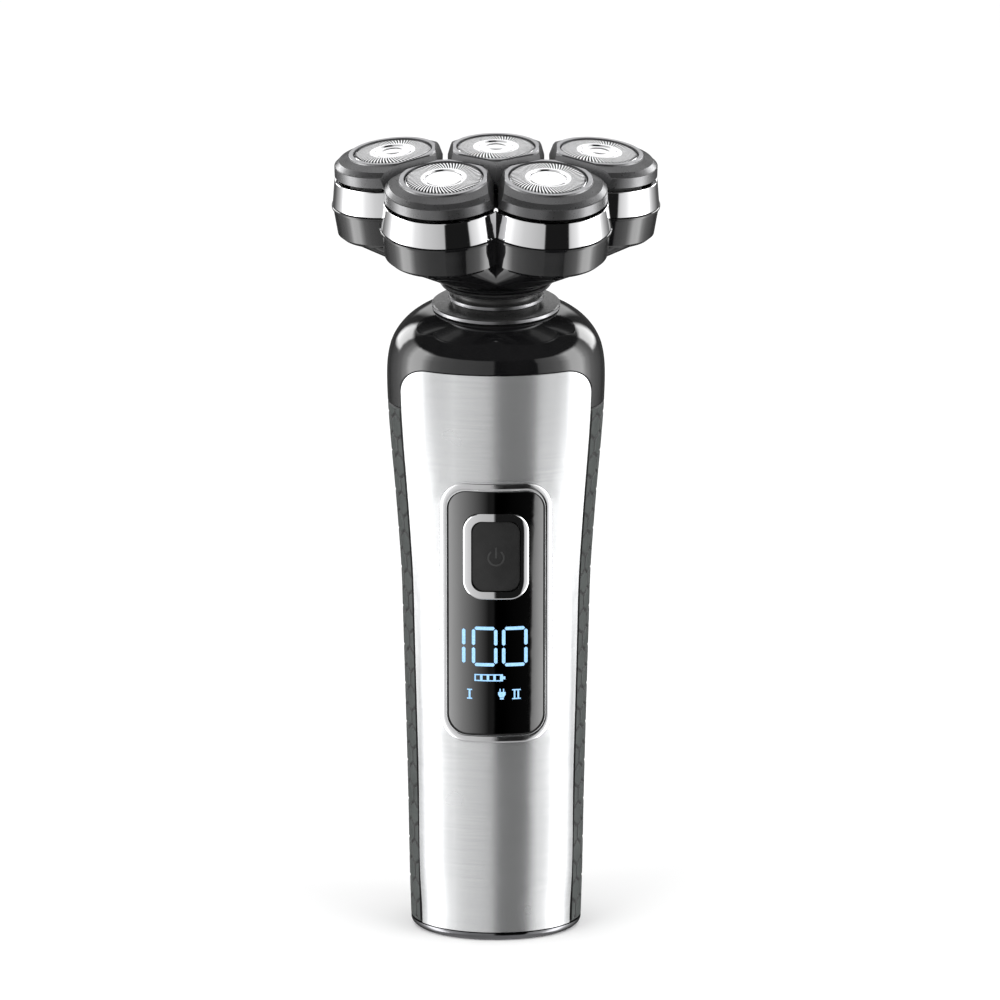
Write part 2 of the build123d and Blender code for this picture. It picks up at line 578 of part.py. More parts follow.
def head_bowl():
    """Gloss bowl under the pods: five lobes that run down to the neck's ring, with its socket."""
    def outside():
        return turned([(0, RIDGE_TOP), (RIDGE_R - 0.15, RIDGE_TOP), (RIDGE_R, RIDGE_TOP - 0.15),
                       (RIDGE_R, RIDGE_LOW + 0.15), (LOBE_TOP_R, RIDGE_LOW),
                       (LOBE_LOW_R, LOBE_LOW_Z + LOBE_ROUND), (LOBE_LOW_R - LOBE_ROUND, LOBE_LOW_Z),
                       (0, LOBE_LOW_Z)])

    def inside():
        return turned([(0, 0), (LOBE_TOP_R - WALL, 0), (LOBE_TOP_R - WALL, RIDGE_LOW),
                       (LOBE_LOW_R - WALL, LOBE_LOW_Z + WALL), (0, LOBE_LOW_Z + WALL)])

    hub = turned([(0, HEAD_RING_HIGH), (HEAD_RING_RADIUS - 0.5, HEAD_RING_HIGH),
                  (HEAD_RING_RADIUS + 0.6, HEAD_RING_HIGH + 1.3), (0, HEAD_RING_HIGH + 3)])
    outer = lobes(outside) + NECK_IN_HEAD * neck_to_head(hub)
    inner = lobes(inside)
    outside_sizes = (LOBE_LOW_R - 0.7, LOBE_LOW_Z + 0.5, HEAD_RING_RADIUS - 1.6, HEAD_RING_HIGH + 0.3)
    inside_sizes = (LOBE_LOW_R - WALL - 0.6, LOBE_LOW_Z + WALL + 0.4,
                    HEAD_RING_RADIUS - 3.0, HEAD_RING_HIGH + 1.6)
    for name in POD_NAMES:
        outer = outer + underside(name, *outside_sizes)
        inner = inner + underside(name, *inside_sizes)
    for x, v in SCREW_PLACES:
        inner = inner - disc(1.6, -20, PLATE_LOW, x, v)
    bowl = outer - inner
    socket = disc(POST_RADIUS + 1.25, HEAD_RING_LOW + 0.5, POST_TOP + 1.8)
    socket = NECK_IN_HEAD * neck_to_head(socket)
    room = disc(POST_RADIUS + RUNNING, HEAD_RING_LOW - 3, POST_TOP + 0.6) + disc(3.7, HEAD_RING_LOW, 14)
    return HEAD * (bowl + socket - NECK_IN_HEAD * neck_to_head(room))


def head_ring():
    """Satin ring at the bowl's foot."""
    ring = turned([(POST_RADIUS + RUNNING, HEAD_RING_LOW), (HEAD_RING_RADIUS - 0.5, HEAD_RING_LOW),
                   (HEAD_RING_RADIUS, HEAD_RING_HIGH - 0.2), (HEAD_RING_RADIUS - 0.2, HEAD_RING_HIGH),
                   (POST_RADIUS + 1.25, HEAD_RING_HIGH), (POST_RADIUS + 1.25, HEAD_RING_LOW + 0.5),
                   (POST_RADIUS + RUNNING, HEAD_RING_LOW + 0.5)])
    return neck(ring)


def deck_outline(radius, low, high):
    """A plate over all five gears: one disc at each, joined in the middle."""
    plate = disc(12.0, low, high, 0, (REAR_ROW + FRONT_ROW) / 2)
    plate = plate + block(-SIDE_X, SIDE_X, REAR_ROW - 6, REAR_ROW + 5, low, high)
    for x, v in GEAR_PLACES.values():
        plate = plate + disc(radius, low, high, x, v)
    return plate


def gear_plate():
    """Plate under the gears, with the long bearing of the sun gear's stem."""
    plate = deck_outline(9.6, PLATE_LOW, PLATE_HIGH)
    for x, v in SCREW_PLACES:
        plate = plate + disc(1.7, PLATE_LOW, DECK_LOW, x, v)
        plate = plate - disc(0.65, -10, 10, x, v)
    plate = plate + disc(2.6, PLATE_LOW - 1.6, PLATE_HIGH)
    for x, v in list(GEAR_PLACES.values()) + list(IDLER_PLACES.values()):
        plate = plate - disc(GEAR_PIN_R, -10, 10, x, v)
    return HEAD * (plate - disc(STEM_RADIUS + RUNNING, -10, 10))


def gear_pins():
    """The steel pins that the cutter gears and the idlers turn on."""
    pins = [HEAD * disc(GEAR_PIN_R, PLATE_LOW, 0.0, x, v) for x, v in GEAR_PLACES.values()]
    pins += [HEAD * disc(GEAR_PIN_R, PLATE_LOW, DECK_LOW, x, v) for x, v in IDLER_PLACES.values()]
    return Compound(children=pins)


def gear_deck():
    """Deck over the gears, with a hole for each stem and the forks that carry the pods' hinge pins."""
    deck = deck_outline(10.4, DECK_LOW, DECK_HIGH)
    for x, v in SCREW_PLACES:
        deck = deck + disc(1.7, DECK_LOW, DECK_HIGH, x, v)
        deck = deck - disc(0.8, DECK_LOW - 1, DECK_HIGH + 1, x, v)
    foot = DECK_HIGH - POD_HEIGHTS["rear_centre"] - 0.6
    half = LUG_THICKNESS / 2
    post = block(HINGE_X - 1.3, HINGE_X + 1.3, -half, half, foot, HINGE_Z + 1.2)
    fork = Pos(0, -POST_Y, 0) * post + Pos(0, POST_Y, 0) * post
    hole = Pos(HINGE_X, 0, HINGE_Z) * Rot(90, 0, 0) * Cylinder(HINGE_PIN_R, 30)
    for name, (x, v) in GEAR_PLACES.items():
        deck = deck + (pod(name, fork - hole) & slab(DECK_LOW + 0.05, 30))
        deck = deck - disc(2.3, DECK_LOW - 1, DECK_HIGH + 0.01, x, v)
    return HEAD * deck


def hinge_pins():
    """One pin through each pod's fork and ears."""
    pin = Pos(HINGE_X, 0, HINGE_Z) * Rot(90, 0, 0) * Cylinder(HINGE_PIN_R, 2 * HINGE_PIN_HALF)
    return Compound(children=[HEAD * pod(name, pin) for name in POD_NAMES])


def head_screws():
    """Five screws from the deck into the bowl's bosses."""
    screw_shape = disc(1.5, DECK_HIGH, DECK_HIGH + 0.9) + disc(0.65, PLATE_LOW, DECK_HIGH)
    slot = block(-1.0, 1.0, -0.2, 0.2, DECK_HIGH + 0.5, 10)
    recess = slot + Rot(0, 0, 90) * slot
    return Compound(children=[HEAD * Pos(x, v, 0) * (screw_shape - recess) for x, v in SCREW_PLACES])


SPRING_RADIUS, SPRING_WIRE, SPRING_TURNS = 3.0, 0.22, 4


def pod_springs():
    """Coil spring round each stem, from the deck up to the cutter's thrust flange."""
    springs = []
    for name in POD_NAMES:
        plane = pod_plane(name)
        seat = Plane.XY.offset(DECK_HIGH + 0.65)
        foot_z = -(plane.origin.Z - seat.origin.Z) / plane.z_dir.Z
        length = -5.85 - SPRING_WIRE - foot_z
        path = Helix(pitch=length / SPRING_TURNS, height=length, radius=SPRING_RADIUS)
        section = Plane(origin=path @ 0, z_dir=path % 0) * Circle(SPRING_WIRE)
        springs.append(HEAD * pod(name, Pos(0, 0, foot_z) * sweep(section, path=path)))
    return Compound(children=springs)


# ================================================================ gears

ADDENDUM, DEDENDUM, BACKLASH, PRESSURE = 0.8 * MODULE, 1.2 * MODULE, 0.16, radians(20)
GEAR_PIN_R = 0.9
IDLER_OFFSET = sqrt(IDLER_DISTANCE ** 2 - (hypot(FRONT_X, ROW_DEPTH) / 2) ** 2)
IDLER_PLACES = {}
for side_name, sign in (("left", -1), ("right", 1)):
    middle = (sign * 1.5 * FRONT_X, (REAR_ROW + FRONT_ROW) / 2)
    length_between = hypot(FRONT_X, ROW_DEPTH)
    inward = (-sign * ROW_DEPTH / length_between, FRONT_X / length_between)
    IDLER_PLACES[side_name] = (middle[0] + inward[0] * IDLER_OFFSET, middle[1] + inward[1] * IDLER_OFFSET)


def mesh_phase(place, other, other_phase, teeth, other_teeth):
    """Angle of a tooth of the gear at place, so that it meshes with the gear at other."""
    towards = atan2(place[1] - other[1], place[0] - other[0])
    share = ((towards - other_phase) * other_teeth / (2 * pi)) % 1
    return towards + pi - (0.5 - share) * 2 * pi / teeth


def involute(angle):
    """The involute function."""
    return tan(angle) - angle


def toothed(teeth, phase, low, high):
    """A spur gear blank with involute flanks, one tooth centred on the phase angle."""
    pitch_r = teeth * MODULE / 2
    base_r = pitch_r * cos(PRESSURE)
    half_pitch = pi / (2 * teeth) - BACKLASH / (2 * pitch_r)
    radii = [max(base_r, pitch_r - DEDENDUM)]
    radii += [radii[0] + (pitch_r + ADDENDUM - radii[0]) * step / 4 for step in range(1, 5)]
    flank = [(r, half_pitch + involute(PRESSURE) - involute(acos(min(1, base_r / r)))) for r in radii]
    root = pitch_r - DEDENDUM
    flank = [(root, flank[0][1])] + flank if radii[0] > root + 0.01 else flank
    points = []
    for tooth in range(teeth):
        middle = phase + tooth * 2 * pi / teeth
        points += [(r * cos(middle - a), r * sin(middle - a)) for r, a in flank]
        points += [(r * cos(middle + a), r * sin(middle + a)) for r, a in reversed(flank)]
    return Pos(0, 0, low) * extrude(make_face(Polyline(*points, close=True)), high - low)


SUN_PHASE = 0.0
PHASES = {name: mesh_phase(GEAR_PLACES[name], (0, 0), SUN_PHASE, GEAR_TEETH, SUN_TEETH)
          for name in ("rear_centre", "front_left", "front_right")}
for side_name in ("left", "right"):
    front, rear = f"front_{side_name}", f"rear_{side_name}"
    idler = IDLER_PLACES[side_name]
    PHASES[side_name] = mesh_phase(idler, GEAR_PLACES[front], PHASES[front], IDLER_TEETH, GEAR_TEETH)
    PHASES[rear] = mesh_phase(GEAR_PLACES[rear], idler, PHASES[side_name], GEAR_TEETH, IDLER_TEETH)


def sun_gear():
    """Driving gear with the long stem that drops into the motor's coupler."""
    stem_end = -(HEAD_ORIGIN.Z - (COUPLER_HIGH - SOCKET_DEPTH + 1.4))
    gear = toothed(SUN_TEETH, SUN_PHASE, -GEAR_HALF, GEAR_HALF) + disc(2.2, GEAR_HALF, DECK_LOW - 0.2)
    return HEAD * (gear + disc(2.2, PLATE_HIGH + 0.1, -GEAR_HALF) + disc(STEM_RADIUS, stem_end, 0))


def cutter_gear(name):
    """Gear of one pod, with a cup on top that takes the cutter's stem."""
    x, v = GEAR_PLACES[name]
    gear = toothed(GEAR_TEETH, PHASES[name], -GEAR_HALF, GEAR_HALF) + disc(3.2, GEAR_HALF, DECK_LOW - 0.2)
    gear = gear + disc(2.2, PLATE_HIGH + 0.1, -GEAR_HALF) - disc(2.2, 0.9, 5)
    return HEAD * Pos(x, v, 0) * (gear - disc(GEAR_PIN_R + RUNNING, -5, 0.05))


def idler_gear(side_name):
    """Small gear that carries the drive from a front gear to a rear side gear."""
    x, v = IDLER_PLACES[side_name]
    gear = toothed(IDLER_TEETH, PHASES[side_name], -GEAR_HALF, GEAR_HALF)
    gear = gear + disc(1.9, GEAR_HALF, DECK_LOW - 0.2) + disc(1.9, PLATE_HIGH + 0.1, -GEAR_HALF)
    return HEAD * Pos(x, v, 0) * (gear - disc(GEAR_PIN_R + RUNNING, -5, 5))


# ================================================================ write every piece

SINGLE_PIECES = (
    front_panel, display_lens, button_ring, power_button, rear_cover, upper_housing, base_ring, base_cap,
    charging_socket, handle_screws, chassis, main_board, display_module, tact_switch, battery_cell,
    motor_can, motor_end_cap, motor_bracket, motor_shaft, motor_armature, drive_coupler,
    neck_collar, neck_post, neck_seal, head_ring, head_bowl, head_band,
    gear_plate, gear_pins, gear_deck, hinge_pins, head_screws, pod_springs, sun_gear,
)
for piece in SINGLE_PIECES:
    save(piece.__name__, piece())
for side_name, side in (("left", -1), ("right", 1)):
    save(f"grip_{side_name}", grip(side))
    save(f"idler_{side_name}", idler_gear(side_name))
for pod_name in POD_NAMES:
    save(f"gear_{pod_name}", cutter_gear(pod_name))
    save(f"cap_{pod_name}", cap(pod_name))
    save(f"foil_{pod_name}", foil(pod_name))
    save(f"cutter_{pod_name}", cutter(pod_name))
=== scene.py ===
import json
from math import atan2, cos, hypot, pi, radians, sin, sqrt
import bmesh
import bpy
import numpy as np
from mathutils import Matrix, Vector


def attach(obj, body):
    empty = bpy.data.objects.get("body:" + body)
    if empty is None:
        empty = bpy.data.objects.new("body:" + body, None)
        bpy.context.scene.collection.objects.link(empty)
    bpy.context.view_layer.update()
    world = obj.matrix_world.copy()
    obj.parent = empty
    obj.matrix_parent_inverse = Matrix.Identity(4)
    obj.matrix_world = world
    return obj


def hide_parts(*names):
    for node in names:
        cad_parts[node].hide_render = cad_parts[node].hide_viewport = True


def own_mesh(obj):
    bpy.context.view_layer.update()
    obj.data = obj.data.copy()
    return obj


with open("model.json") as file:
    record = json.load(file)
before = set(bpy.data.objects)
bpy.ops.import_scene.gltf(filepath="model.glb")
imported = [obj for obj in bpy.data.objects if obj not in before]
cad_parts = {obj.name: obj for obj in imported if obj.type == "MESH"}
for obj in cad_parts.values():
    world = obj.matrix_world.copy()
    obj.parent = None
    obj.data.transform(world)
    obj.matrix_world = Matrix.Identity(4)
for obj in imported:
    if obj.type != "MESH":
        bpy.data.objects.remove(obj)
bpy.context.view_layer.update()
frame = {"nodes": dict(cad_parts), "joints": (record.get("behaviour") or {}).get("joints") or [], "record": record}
NODES = frame["nodes"]
JOINTS = {joint["name"]: joint for joint in frame["joints"]}
MM = 0.001
PODS = ("rear_left", "rear_centre", "rear_right", "front_left", "front_right")

# ------------------------------------------------------------ the handle's oval, in millimetres
# (height, half width) up the handle
BODY_STATIONS = [
    (0.0, 18.35), (10.0, 18.65), (30.0, 19.05), (50.0, 19.55), (66.0, 20.0), (80.0, 20.45),
    (88.0, 21.0), (97.0, 21.7), (106.0, 22.5), (114.0, 23.1), (120.0, 23.35), (127.3, 22.75),
]
DEPTH_RATIO = 0.93
SHELL_BOTTOM, GRIP_TOP = 1.9, 115.6
WINDOW_HALF = 10.5
BUTTON_Z = 85.3


def half_width(z):
    """Half width of the handle at a height, a smooth curve through the stations."""
    heights = np.array([s[0] for s in BODY_STATIONS])
    widths = np.array([s[1] for s in BODY_STATIONS])
    slopes = np.gradient(widths, heights)
    z = np.clip(z, heights[0], heights[-1])
    i = np.clip(np.searchsorted(heights, z) - 1, 0, len(heights) - 2)
    step = heights[i + 1] - heights[i]
    t = (z - heights[i]) / step
    return ((2 * t ** 3 - 3 * t ** 2 + 1) * widths[i] + (t ** 3 - 2 * t ** 2 + t) * step * slopes[i]
            + (3 * t ** 2 - 2 * t ** 3) * widths[i + 1] + (t ** 3 - t ** 2) * step * slopes[i + 1])


def front_y(x, z, inset=0.0):
    """Y of the handle's front surface at x and z, in millimetres."""
    a = half_width(z) - inset
    b = half_width(z) * DEPTH_RATIO - inset
    return -b * np.sqrt(np.maximum(0.0, 1 - (x / a) ** 2))


def around(angle, z):
    """Point of the handle's surface at an angle from the front and a height, in millimetres."""
    a = half_width(z)
    b = a * DEPTH_RATIO
    reach = 1 / np.sqrt((np.sin(angle) / a) ** 2 + (np.cos(angle) / b) ** 2)
    return reach * np.sin(angle), -reach * np.cos(angle)


# ------------------------------------------------------------ making objects

def new_object(name, vertices, faces, material, body, smooth=None, replaces=()):
    """A mesh object in millimetres that rides on a body and takes its finish from a slot."""
    mesh = bpy.data.meshes.new(name)
    mesh.from_pydata([tuple(c * MM for c in v) for v in vertices], [], faces)
    mesh.validate()
    piece = bpy.data.objects.new(name, mesh)
    bpy.context.scene.collection.objects.link(piece)
    mesh.materials.append(material)
    if smooth is not None:
        mesh.shade_smooth()
        mesh.set_sharp_from_angle(angle=radians(smooth))
    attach(piece, body)
    if replaces:
        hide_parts(*replaces)
    return piece


TINY = 1e-6


def turned(profile, segments):
    """Vertices and faces of a closed ring or solid turned about Z from (radius, height) corners."""
    vertices, faces = [], []
    count = len(profile)
    for s in range(segments):
        angle = 2 * pi * s / segments
        vertices += [(r * cos(angle), r * sin(angle), z) for r, z in profile]
    for s in range(segments):
        here, there = s * count, ((s + 1) % segments) * count
        for k in range(count):
            n = (k + 1) % count
            if profile[k][0] < TINY and profile[n][0] < TINY:
                continue
            corners = [here + k, here + n, there + n, there + k]
            if profile[k][0] < TINY:
                corners = [here + k, here + n, there + n]
            elif profile[n][0] < TINY:
                corners = [here + k, here + n, there + k]
            faces.append(corners)
    return vertices, faces


def loops_joined(loops, corners):
    """Faces between each loop of corners and the next, and from the last one back to the first."""
    faces = []
    for s in range(loops):
        here, there = s * corners, ((s + 1) % loops) * corners
        for k in range(corners):
            n = (k + 1) % corners
            faces.append([here + k, here + n, there + n, there + k])
    return faces


def joined(*parts):
    """Several (vertices, faces) pairs as one."""
    vertices, faces = [], []
    for more_vertices, more_faces in parts:
        shift = len(vertices)
        vertices += list(more_vertices)
        faces += [[i + shift for i in face] for face in more_faces]
    return vertices, faces


def pod_matrix(name):
    """A pod's own frame in millimetres: +Z out of the foil, +X away from the head's middle."""
    spin = JOINTS[f"cutter_spin_{name}"]
    up = Vector(spin["axis"]).normalized()
    across = Vector(JOINTS[f"pod_tilt_{name}"]["axis"]).normalized()
    matrix = Matrix((across.cross(up), across, up)).transposed().to_4x4()
    matrix.translation = Vector(spin["pos_m"]) / MM
    return matrix


def placed(matrix, vertices):
    """Vertices moved by a matrix."""
    return [tuple(matrix @ Vector(v)) for v in vertices]


# ------------------------------------------------------------ materials

def grey(value):
    """A grey colour."""
    return (value, value, value, 1)


class Nodes:
    """A short hand for building one material's nodes."""

    def __init__(self, name):
        self.material = bpy.data.materials.new(name)
        self.material.use_nodes = True
        self.tree = self.material.node_tree
        self.shader = self.tree.nodes["Principled BSDF"]

    def add(self, kind, **values):
        """One node, with its inputs set or linked by name."""
        node = self.tree.nodes.new(kind)
        for key, value in values.items():
            if hasattr(node, key):
                setattr(node, key, value)
            else:
                self.put(node, key.replace("_", " "), value)
        return node

    def put(self, node, key, value):
        """Sets or links one input."""
        socket = node.inputs[key]
        if isinstance(value, bpy.types.NodeSocket):
            self.tree.links.new(value, socket)
        else:
            socket.default_value = value

    def coords(self, scale=(1, 1, 1)):
        """Object coordinates, in metres unless they are scaled."""
        source = self.tree.nodes.new("ShaderNodeTexCoord").outputs["Object"]
        mapping = self.add("ShaderNodeMapping", Scale=scale)
        self.put(mapping, "Vector", source)
        return mapping.outputs["Vector"]

    def off_middle(self, reach):
        """Distance from the middle plane X = 0 as a share of a reach in millimetres."""
        split = self.add("ShaderNodeSeparateXYZ", Vector=self.coords())
        distance = self.add("ShaderNodeMath", operation="ABSOLUTE")
        self.put(distance, 0, split.outputs["X"])
        share = self.add("ShaderNodeMath", operation="MULTIPLY")
        self.put(share, 0, distance.outputs[0])
        self.put(share, 1, 1 / (reach * MM))
        return share.outputs[0]

    def noise(self, scale, detail, stretch=(1, 1, 1), rough=0.5):
        """A noise value over the object."""
        node = self.add("ShaderNodeTexNoise", Scale=scale, Detail=detail, Roughness=rough)
        self.put(node, "Vector", self.coords(stretch))
        return node.outputs["Fac"]

    def ramp(self, value, low, high, low_at=0.3, high_at=0.7, more=()):
        """A value turned into a colour or grey between two, with more (place, colour) stops after them."""
        node = self.add("ShaderNodeValToRGB")
        self.put(node, "Fac", value)
        for element, at, colour in zip(node.color_ramp.elements, (low_at, high_at), (low, high)):
            element.position = at
            element.color = (*colour[:3], 1)
        for at, colour in more:
            node.color_ramp.elements.new(at).color = (*colour[:3], 1)
        return node.outputs["Color"]

    def bump(self, height, strength, distance):
        """Bump on the shader from a height value."""
        node = self.add("ShaderNodeBump", Strength=strength, Distance=distance)
        self.put(node, "Height", height)
        self.put(self.shader, "Normal", node.outputs["Normal"])

    def finish(self, **values):
        """Sets the shader's inputs and gives the material."""
        for key, value in values.items():
            self.put(self.shader, key.replace("_", " "), value)
        return self.material


PANEL_REACH = 20.0


def brushed_steel():
    """Steel brushed from side to side, with painted shade in a band along both sides of the front, back to the
    plain colour at the outer edge.
    """
    n = Nodes("brushed_steel")
    lines = n.noise(scale=3200, detail=5, stretch=(0.02, 0.02, 1.0), rough=0.7)
    cloud = n.noise(scale=60, detail=3)
    n.bump(lines, strength=0.05, distance=0.02 * MM)
    grain = n.ramp(lines, (0.90, 0.905, 0.91), grey(1.0))
    # Painted shade: the steel's colour darkens from 9 mm out from the middle to 14.8 mm, stays dark to 16.4 mm and
    # is plain again from 18.4 mm.
    pale, painted_shade_colour = (0.84, 0.845, 0.85), (0.36, 0.363, 0.366)
    painted_shade_stops = ((0.82, painted_shade_colour), (0.92, pale))
    painted_light_tint = n.ramp(n.off_middle(PANEL_REACH), pale, painted_shade_colour, low_at=0.45, high_at=0.74, more=painted_shade_stops)
    colour = n.add("ShaderNodeMixRGB", blend_type="MULTIPLY", Fac=1.0, Color1=painted_light_tint, Color2=grain)
    rough = n.ramp(cloud, grey(0.23), grey(0.28))
    return n.finish(Base_Color=colour.outputs[0], Metallic=0.86, Roughness=rough)


def chrome():
    """Bright plated surface."""
    n = Nodes("chrome")
    haze = n.noise(scale=500, detail=3)
    n.bump(haze, strength=0.02, distance=0.02 * MM)
    rough = n.ramp(haze, grey(0.03), grey(0.06))
    return n.finish(Base_Color=(0.93, 0.93, 0.94, 1), Metallic=1.0, Roughness=rough)


def foil_steel():
    """Polished thin steel."""
    n = Nodes("foil_steel")
    haze = n.noise(scale=1500, detail=4)
    n.bump(haze, strength=0.05, distance=0.02 * MM)
    rough = n.ramp(haze, grey(0.10), grey(0.17))
    colour = n.ramp(n.noise(scale=250, detail=3), (0.80, 0.80, 0.81), (0.90, 0.90, 0.91))
    return n.finish(Base_Color=colour, Metallic=1.0, Roughness=rough)


def cap_metal():
    """Fine-grained dark metal."""
    n = Nodes("cap_metal")
    grain = n.noise(scale=2600, detail=4)
    n.bump(grain, strength=0.08, distance=0.03 * MM)
    colour = n.ramp(n.noise(scale=160, detail=3), (0.15, 0.15, 0.153), (0.19, 0.19, 0.193))
    rough = n.ramp(grain, grey(0.26), grey(0.36))
    return n.finish(Base_Color=colour, Metallic=0.9, Roughness=rough)


def gloss_black():
    """Black lacquer with a slight wave."""
    n = Nodes("panel_gloss")
    n.bump(n.noise(scale=90, detail=2), strength=0.02, distance=0.1 * MM)
    colour = n.ramp(n.noise(scale=300, detail=3), (0.004, 0.004, 0.0044), (0.006, 0.006, 0.0064))
    rough = n.ramp(n.noise(scale=700, detail=4), grey(0.04), grey(0.08))
    return n.finish(Base_Color=colour, Roughness=rough, IOR=1.7)


def smoked_glass():
    """Dark mirror-like window, darkest along its middle, with a painted reflection that lightens its colour
    towards both sides.
    """
    n = Nodes("lens")
    # Painted reflection: the window's colour grows lighter away from its middle.
    painted_light_tint = n.ramp(n.off_middle(WINDOW_HALF), grey(0.02), grey(0.42), low_at=0.15, high_at=1.0)
    rough = n.ramp(n.noise(scale=700, detail=4), grey(0.05), grey(0.09))
    return n.finish(Base_Color=painted_light_tint, Metallic=1.0, Roughness=rough)


def satin_dark(name, low, high, rough_low=0.34, rough_high=0.46):
    """Dark moulded plastic or rubber with a fine grain."""
    n = Nodes(name)
    grain = n.noise(scale=1800, detail=5)
    n.bump(grain, strength=0.12, distance=0.05 * MM)
    colour = n.ramp(n.noise(scale=220, detail=4), grey(low), grey(high))
    rough = n.ramp(grain, grey(rough_low), grey(rough_high))
    return n.finish(Base_Color=colour, Roughness=rough, Metallic=0.0)


def soft_grip():
    """Grey rubber with a slight green in it."""
    n = Nodes("soft_grip")
    grain = n.noise(scale=2400, detail=6)
    n.bump(grain, strength=0.25, distance=0.08 * MM)
    colour = n.ramp(n.noise(scale=180, detail=4), (0.040, 0.046, 0.044), (0.058, 0.065, 0.062))
    rough = n.ramp(grain, grey(0.48), grey(0.62))
    return n.finish(Base_Color=colour, Roughness=rough, Specular_IOR_Level=0.3)


def tinted(name, low, high, rough=0.45, metallic=0.0):
    """Moulded or machined surface with some unevenness in colour and finish."""
    n = Nodes(name)
    grain = n.noise(scale=900, detail=5)
    n.bump(grain, strength=0.12, distance=0.05 * MM)
    colour = n.ramp(n.noise(scale=150, detail=4), low, high)
    uneven = n.ramp(grain, grey(rough - 0.06), grey(rough + 0.06))
    return n.finish(Base_Color=colour, Roughness=uneven, Metallic=metallic)


def glow():
    """Light blue of the lit signs."""
    n = Nodes("display_light")
    cells = n.noise(scale=3000, detail=2)
    colour = n.ramp(cells, (0.16, 0.32, 0.52), (0.24, 0.42, 0.62))
    return n.finish(Base_Color=colour, Emission_Color=colour, Emission_Strength=1.0, Roughness=0.4)


MATERIALS = {
    "brushed_steel": brushed_steel(),
    "panel_gloss": gloss_black(),
    "soft_grip": soft_grip(),
    "chrome": chrome(),
    "foil_steel": foil_steel(),
    "cap_metal": cap_metal(),
    "dark_satin": satin_dark("dark_satin", 0.020, 0.030, 0.26, 0.36),
    "spine": satin_dark("spine", 0.030, 0.042),
    "button_black": satin_dark("button_black", 0.012, 0.018, 0.38, 0.5),
    "lens": smoked_glass(),
    "smoked_chrome": tinted("smoked_chrome", (0.20, 0.20, 0.21), (0.26, 0.26, 0.27), 0.12, 1.0),
    "inner_frame": tinted("inner_frame", (0.14, 0.14, 0.15), (0.20, 0.20, 0.21)),
    "gear_plastic": tinted("gear_plastic", (0.74, 0.73, 0.68), (0.84, 0.83, 0.78)),
    "steel": tinted("steel", (0.45, 0.46, 0.48), (0.60, 0.61, 0.63), 0.28, 1.0),
    "spring_steel": tinted("spring_steel", (0.50, 0.50, 0.52), (0.66, 0.66, 0.67), 0.25, 1.0),
    "cutter_steel": tinted("cutter_steel", (0.05, 0.05, 0.052), (0.09, 0.09, 0.092), 0.4, 0.8),
    "copper": tinted("copper", (0.62, 0.30, 0.14), (0.80, 0.44, 0.24), 0.3, 1.0),
    "board": tinted("board", (0.02, 0.16, 0.07), (0.04, 0.24, 0.11), 0.35),
    "cell_wrap": tinted("cell_wrap", (0.07, 0.20, 0.42), (0.12, 0.30, 0.56), 0.3),
    "rim_steel": tinted("rim_steel", (0.80, 0.80, 0.81), (0.88, 0.88, 0.89), 0.16, 1.0),
    "trim": tinted("trim", (0.30, 0.30, 0.31), (0.38, 0.38, 0.39), 0.34, 1.0),
    "seal": satin_dark("seal", 0.012, 0.020, 0.5, 0.65),
}
GLOW = glow()
# Near-black finish for the grip's groove floors: painted shade in the recesses.
PAINTED_GROOVE_SHADE = satin_dark("grip_groove_painted_shade", 0.003, 0.006, 0.5, 0.65)


def dress_cad_nodes():
    """Gives every CAD node the material of its slot, and the base ring and cutters a finish of their own."""
    finishes = {entry["node"]: entry["material_slot"] for entry in frame["record"]["subparts"]}
    finishes["base_ring"] = "smoked_chrome"
    finishes.update({f"cutter_{name}": "cutter_steel" for name in PODS})
    for name, node in NODES.items():
        node.data.materials.clear()
        node.data.materials.append(MATERIALS[finishes[name]])


# ------------------------------------------------------------ foils, rings

SLOTS = 64
SLOT_SLANT = 0.16
TRACK_INNER, TRACK_MIDDLE, TRACK_OUTER, FOIL_RADIUS = 4.9, 6.6, 8.05, 8.4
BAR_SHARE, BAR_TAPER, BAR_DEPTH = 0.23, 0.3, 0.28
# (radius, height) down the middle of a bar, from the dish to the foil's outer wall
BAR_LINE = [
    (TRACK_INNER - 0.15, -0.02), (5.6, 0.0), (TRACK_MIDDLE, 0.0), (7.5, -0.02), (7.9, -0.10),
    (TRACK_OUTER + 0.1, -0.24),
]
# (radius, height) corners of the dished middle, and of the outer wall with its flange
FOIL_DISH = [
    (0, -0.27), (1.5, -0.27), (1.62, -0.23), (2.1, -0.23), (2.22, -0.27), (3.8, -0.25), (4.0, -0.40),
    (4.25, -0.40), (4.4, -0.03), (4.6, 0.0), (TRACK_INNER, 0.0), (TRACK_INNER, -0.35), (4.3, -0.52),
    (0, -0.65),
]
FOIL_WALL = [
    (TRACK_OUTER, -0.20), (8.2, -0.30), (8.34, -0.45), (FOIL_RADIUS, -0.7), (FOIL_RADIUS, -1.5), (9.18, -1.5),
    (9.18, -1.88), (7.95, -1.88), (7.95, -0.6), (TRACK_OUTER, -0.50),
]
FOIL_SEGMENTS = 128


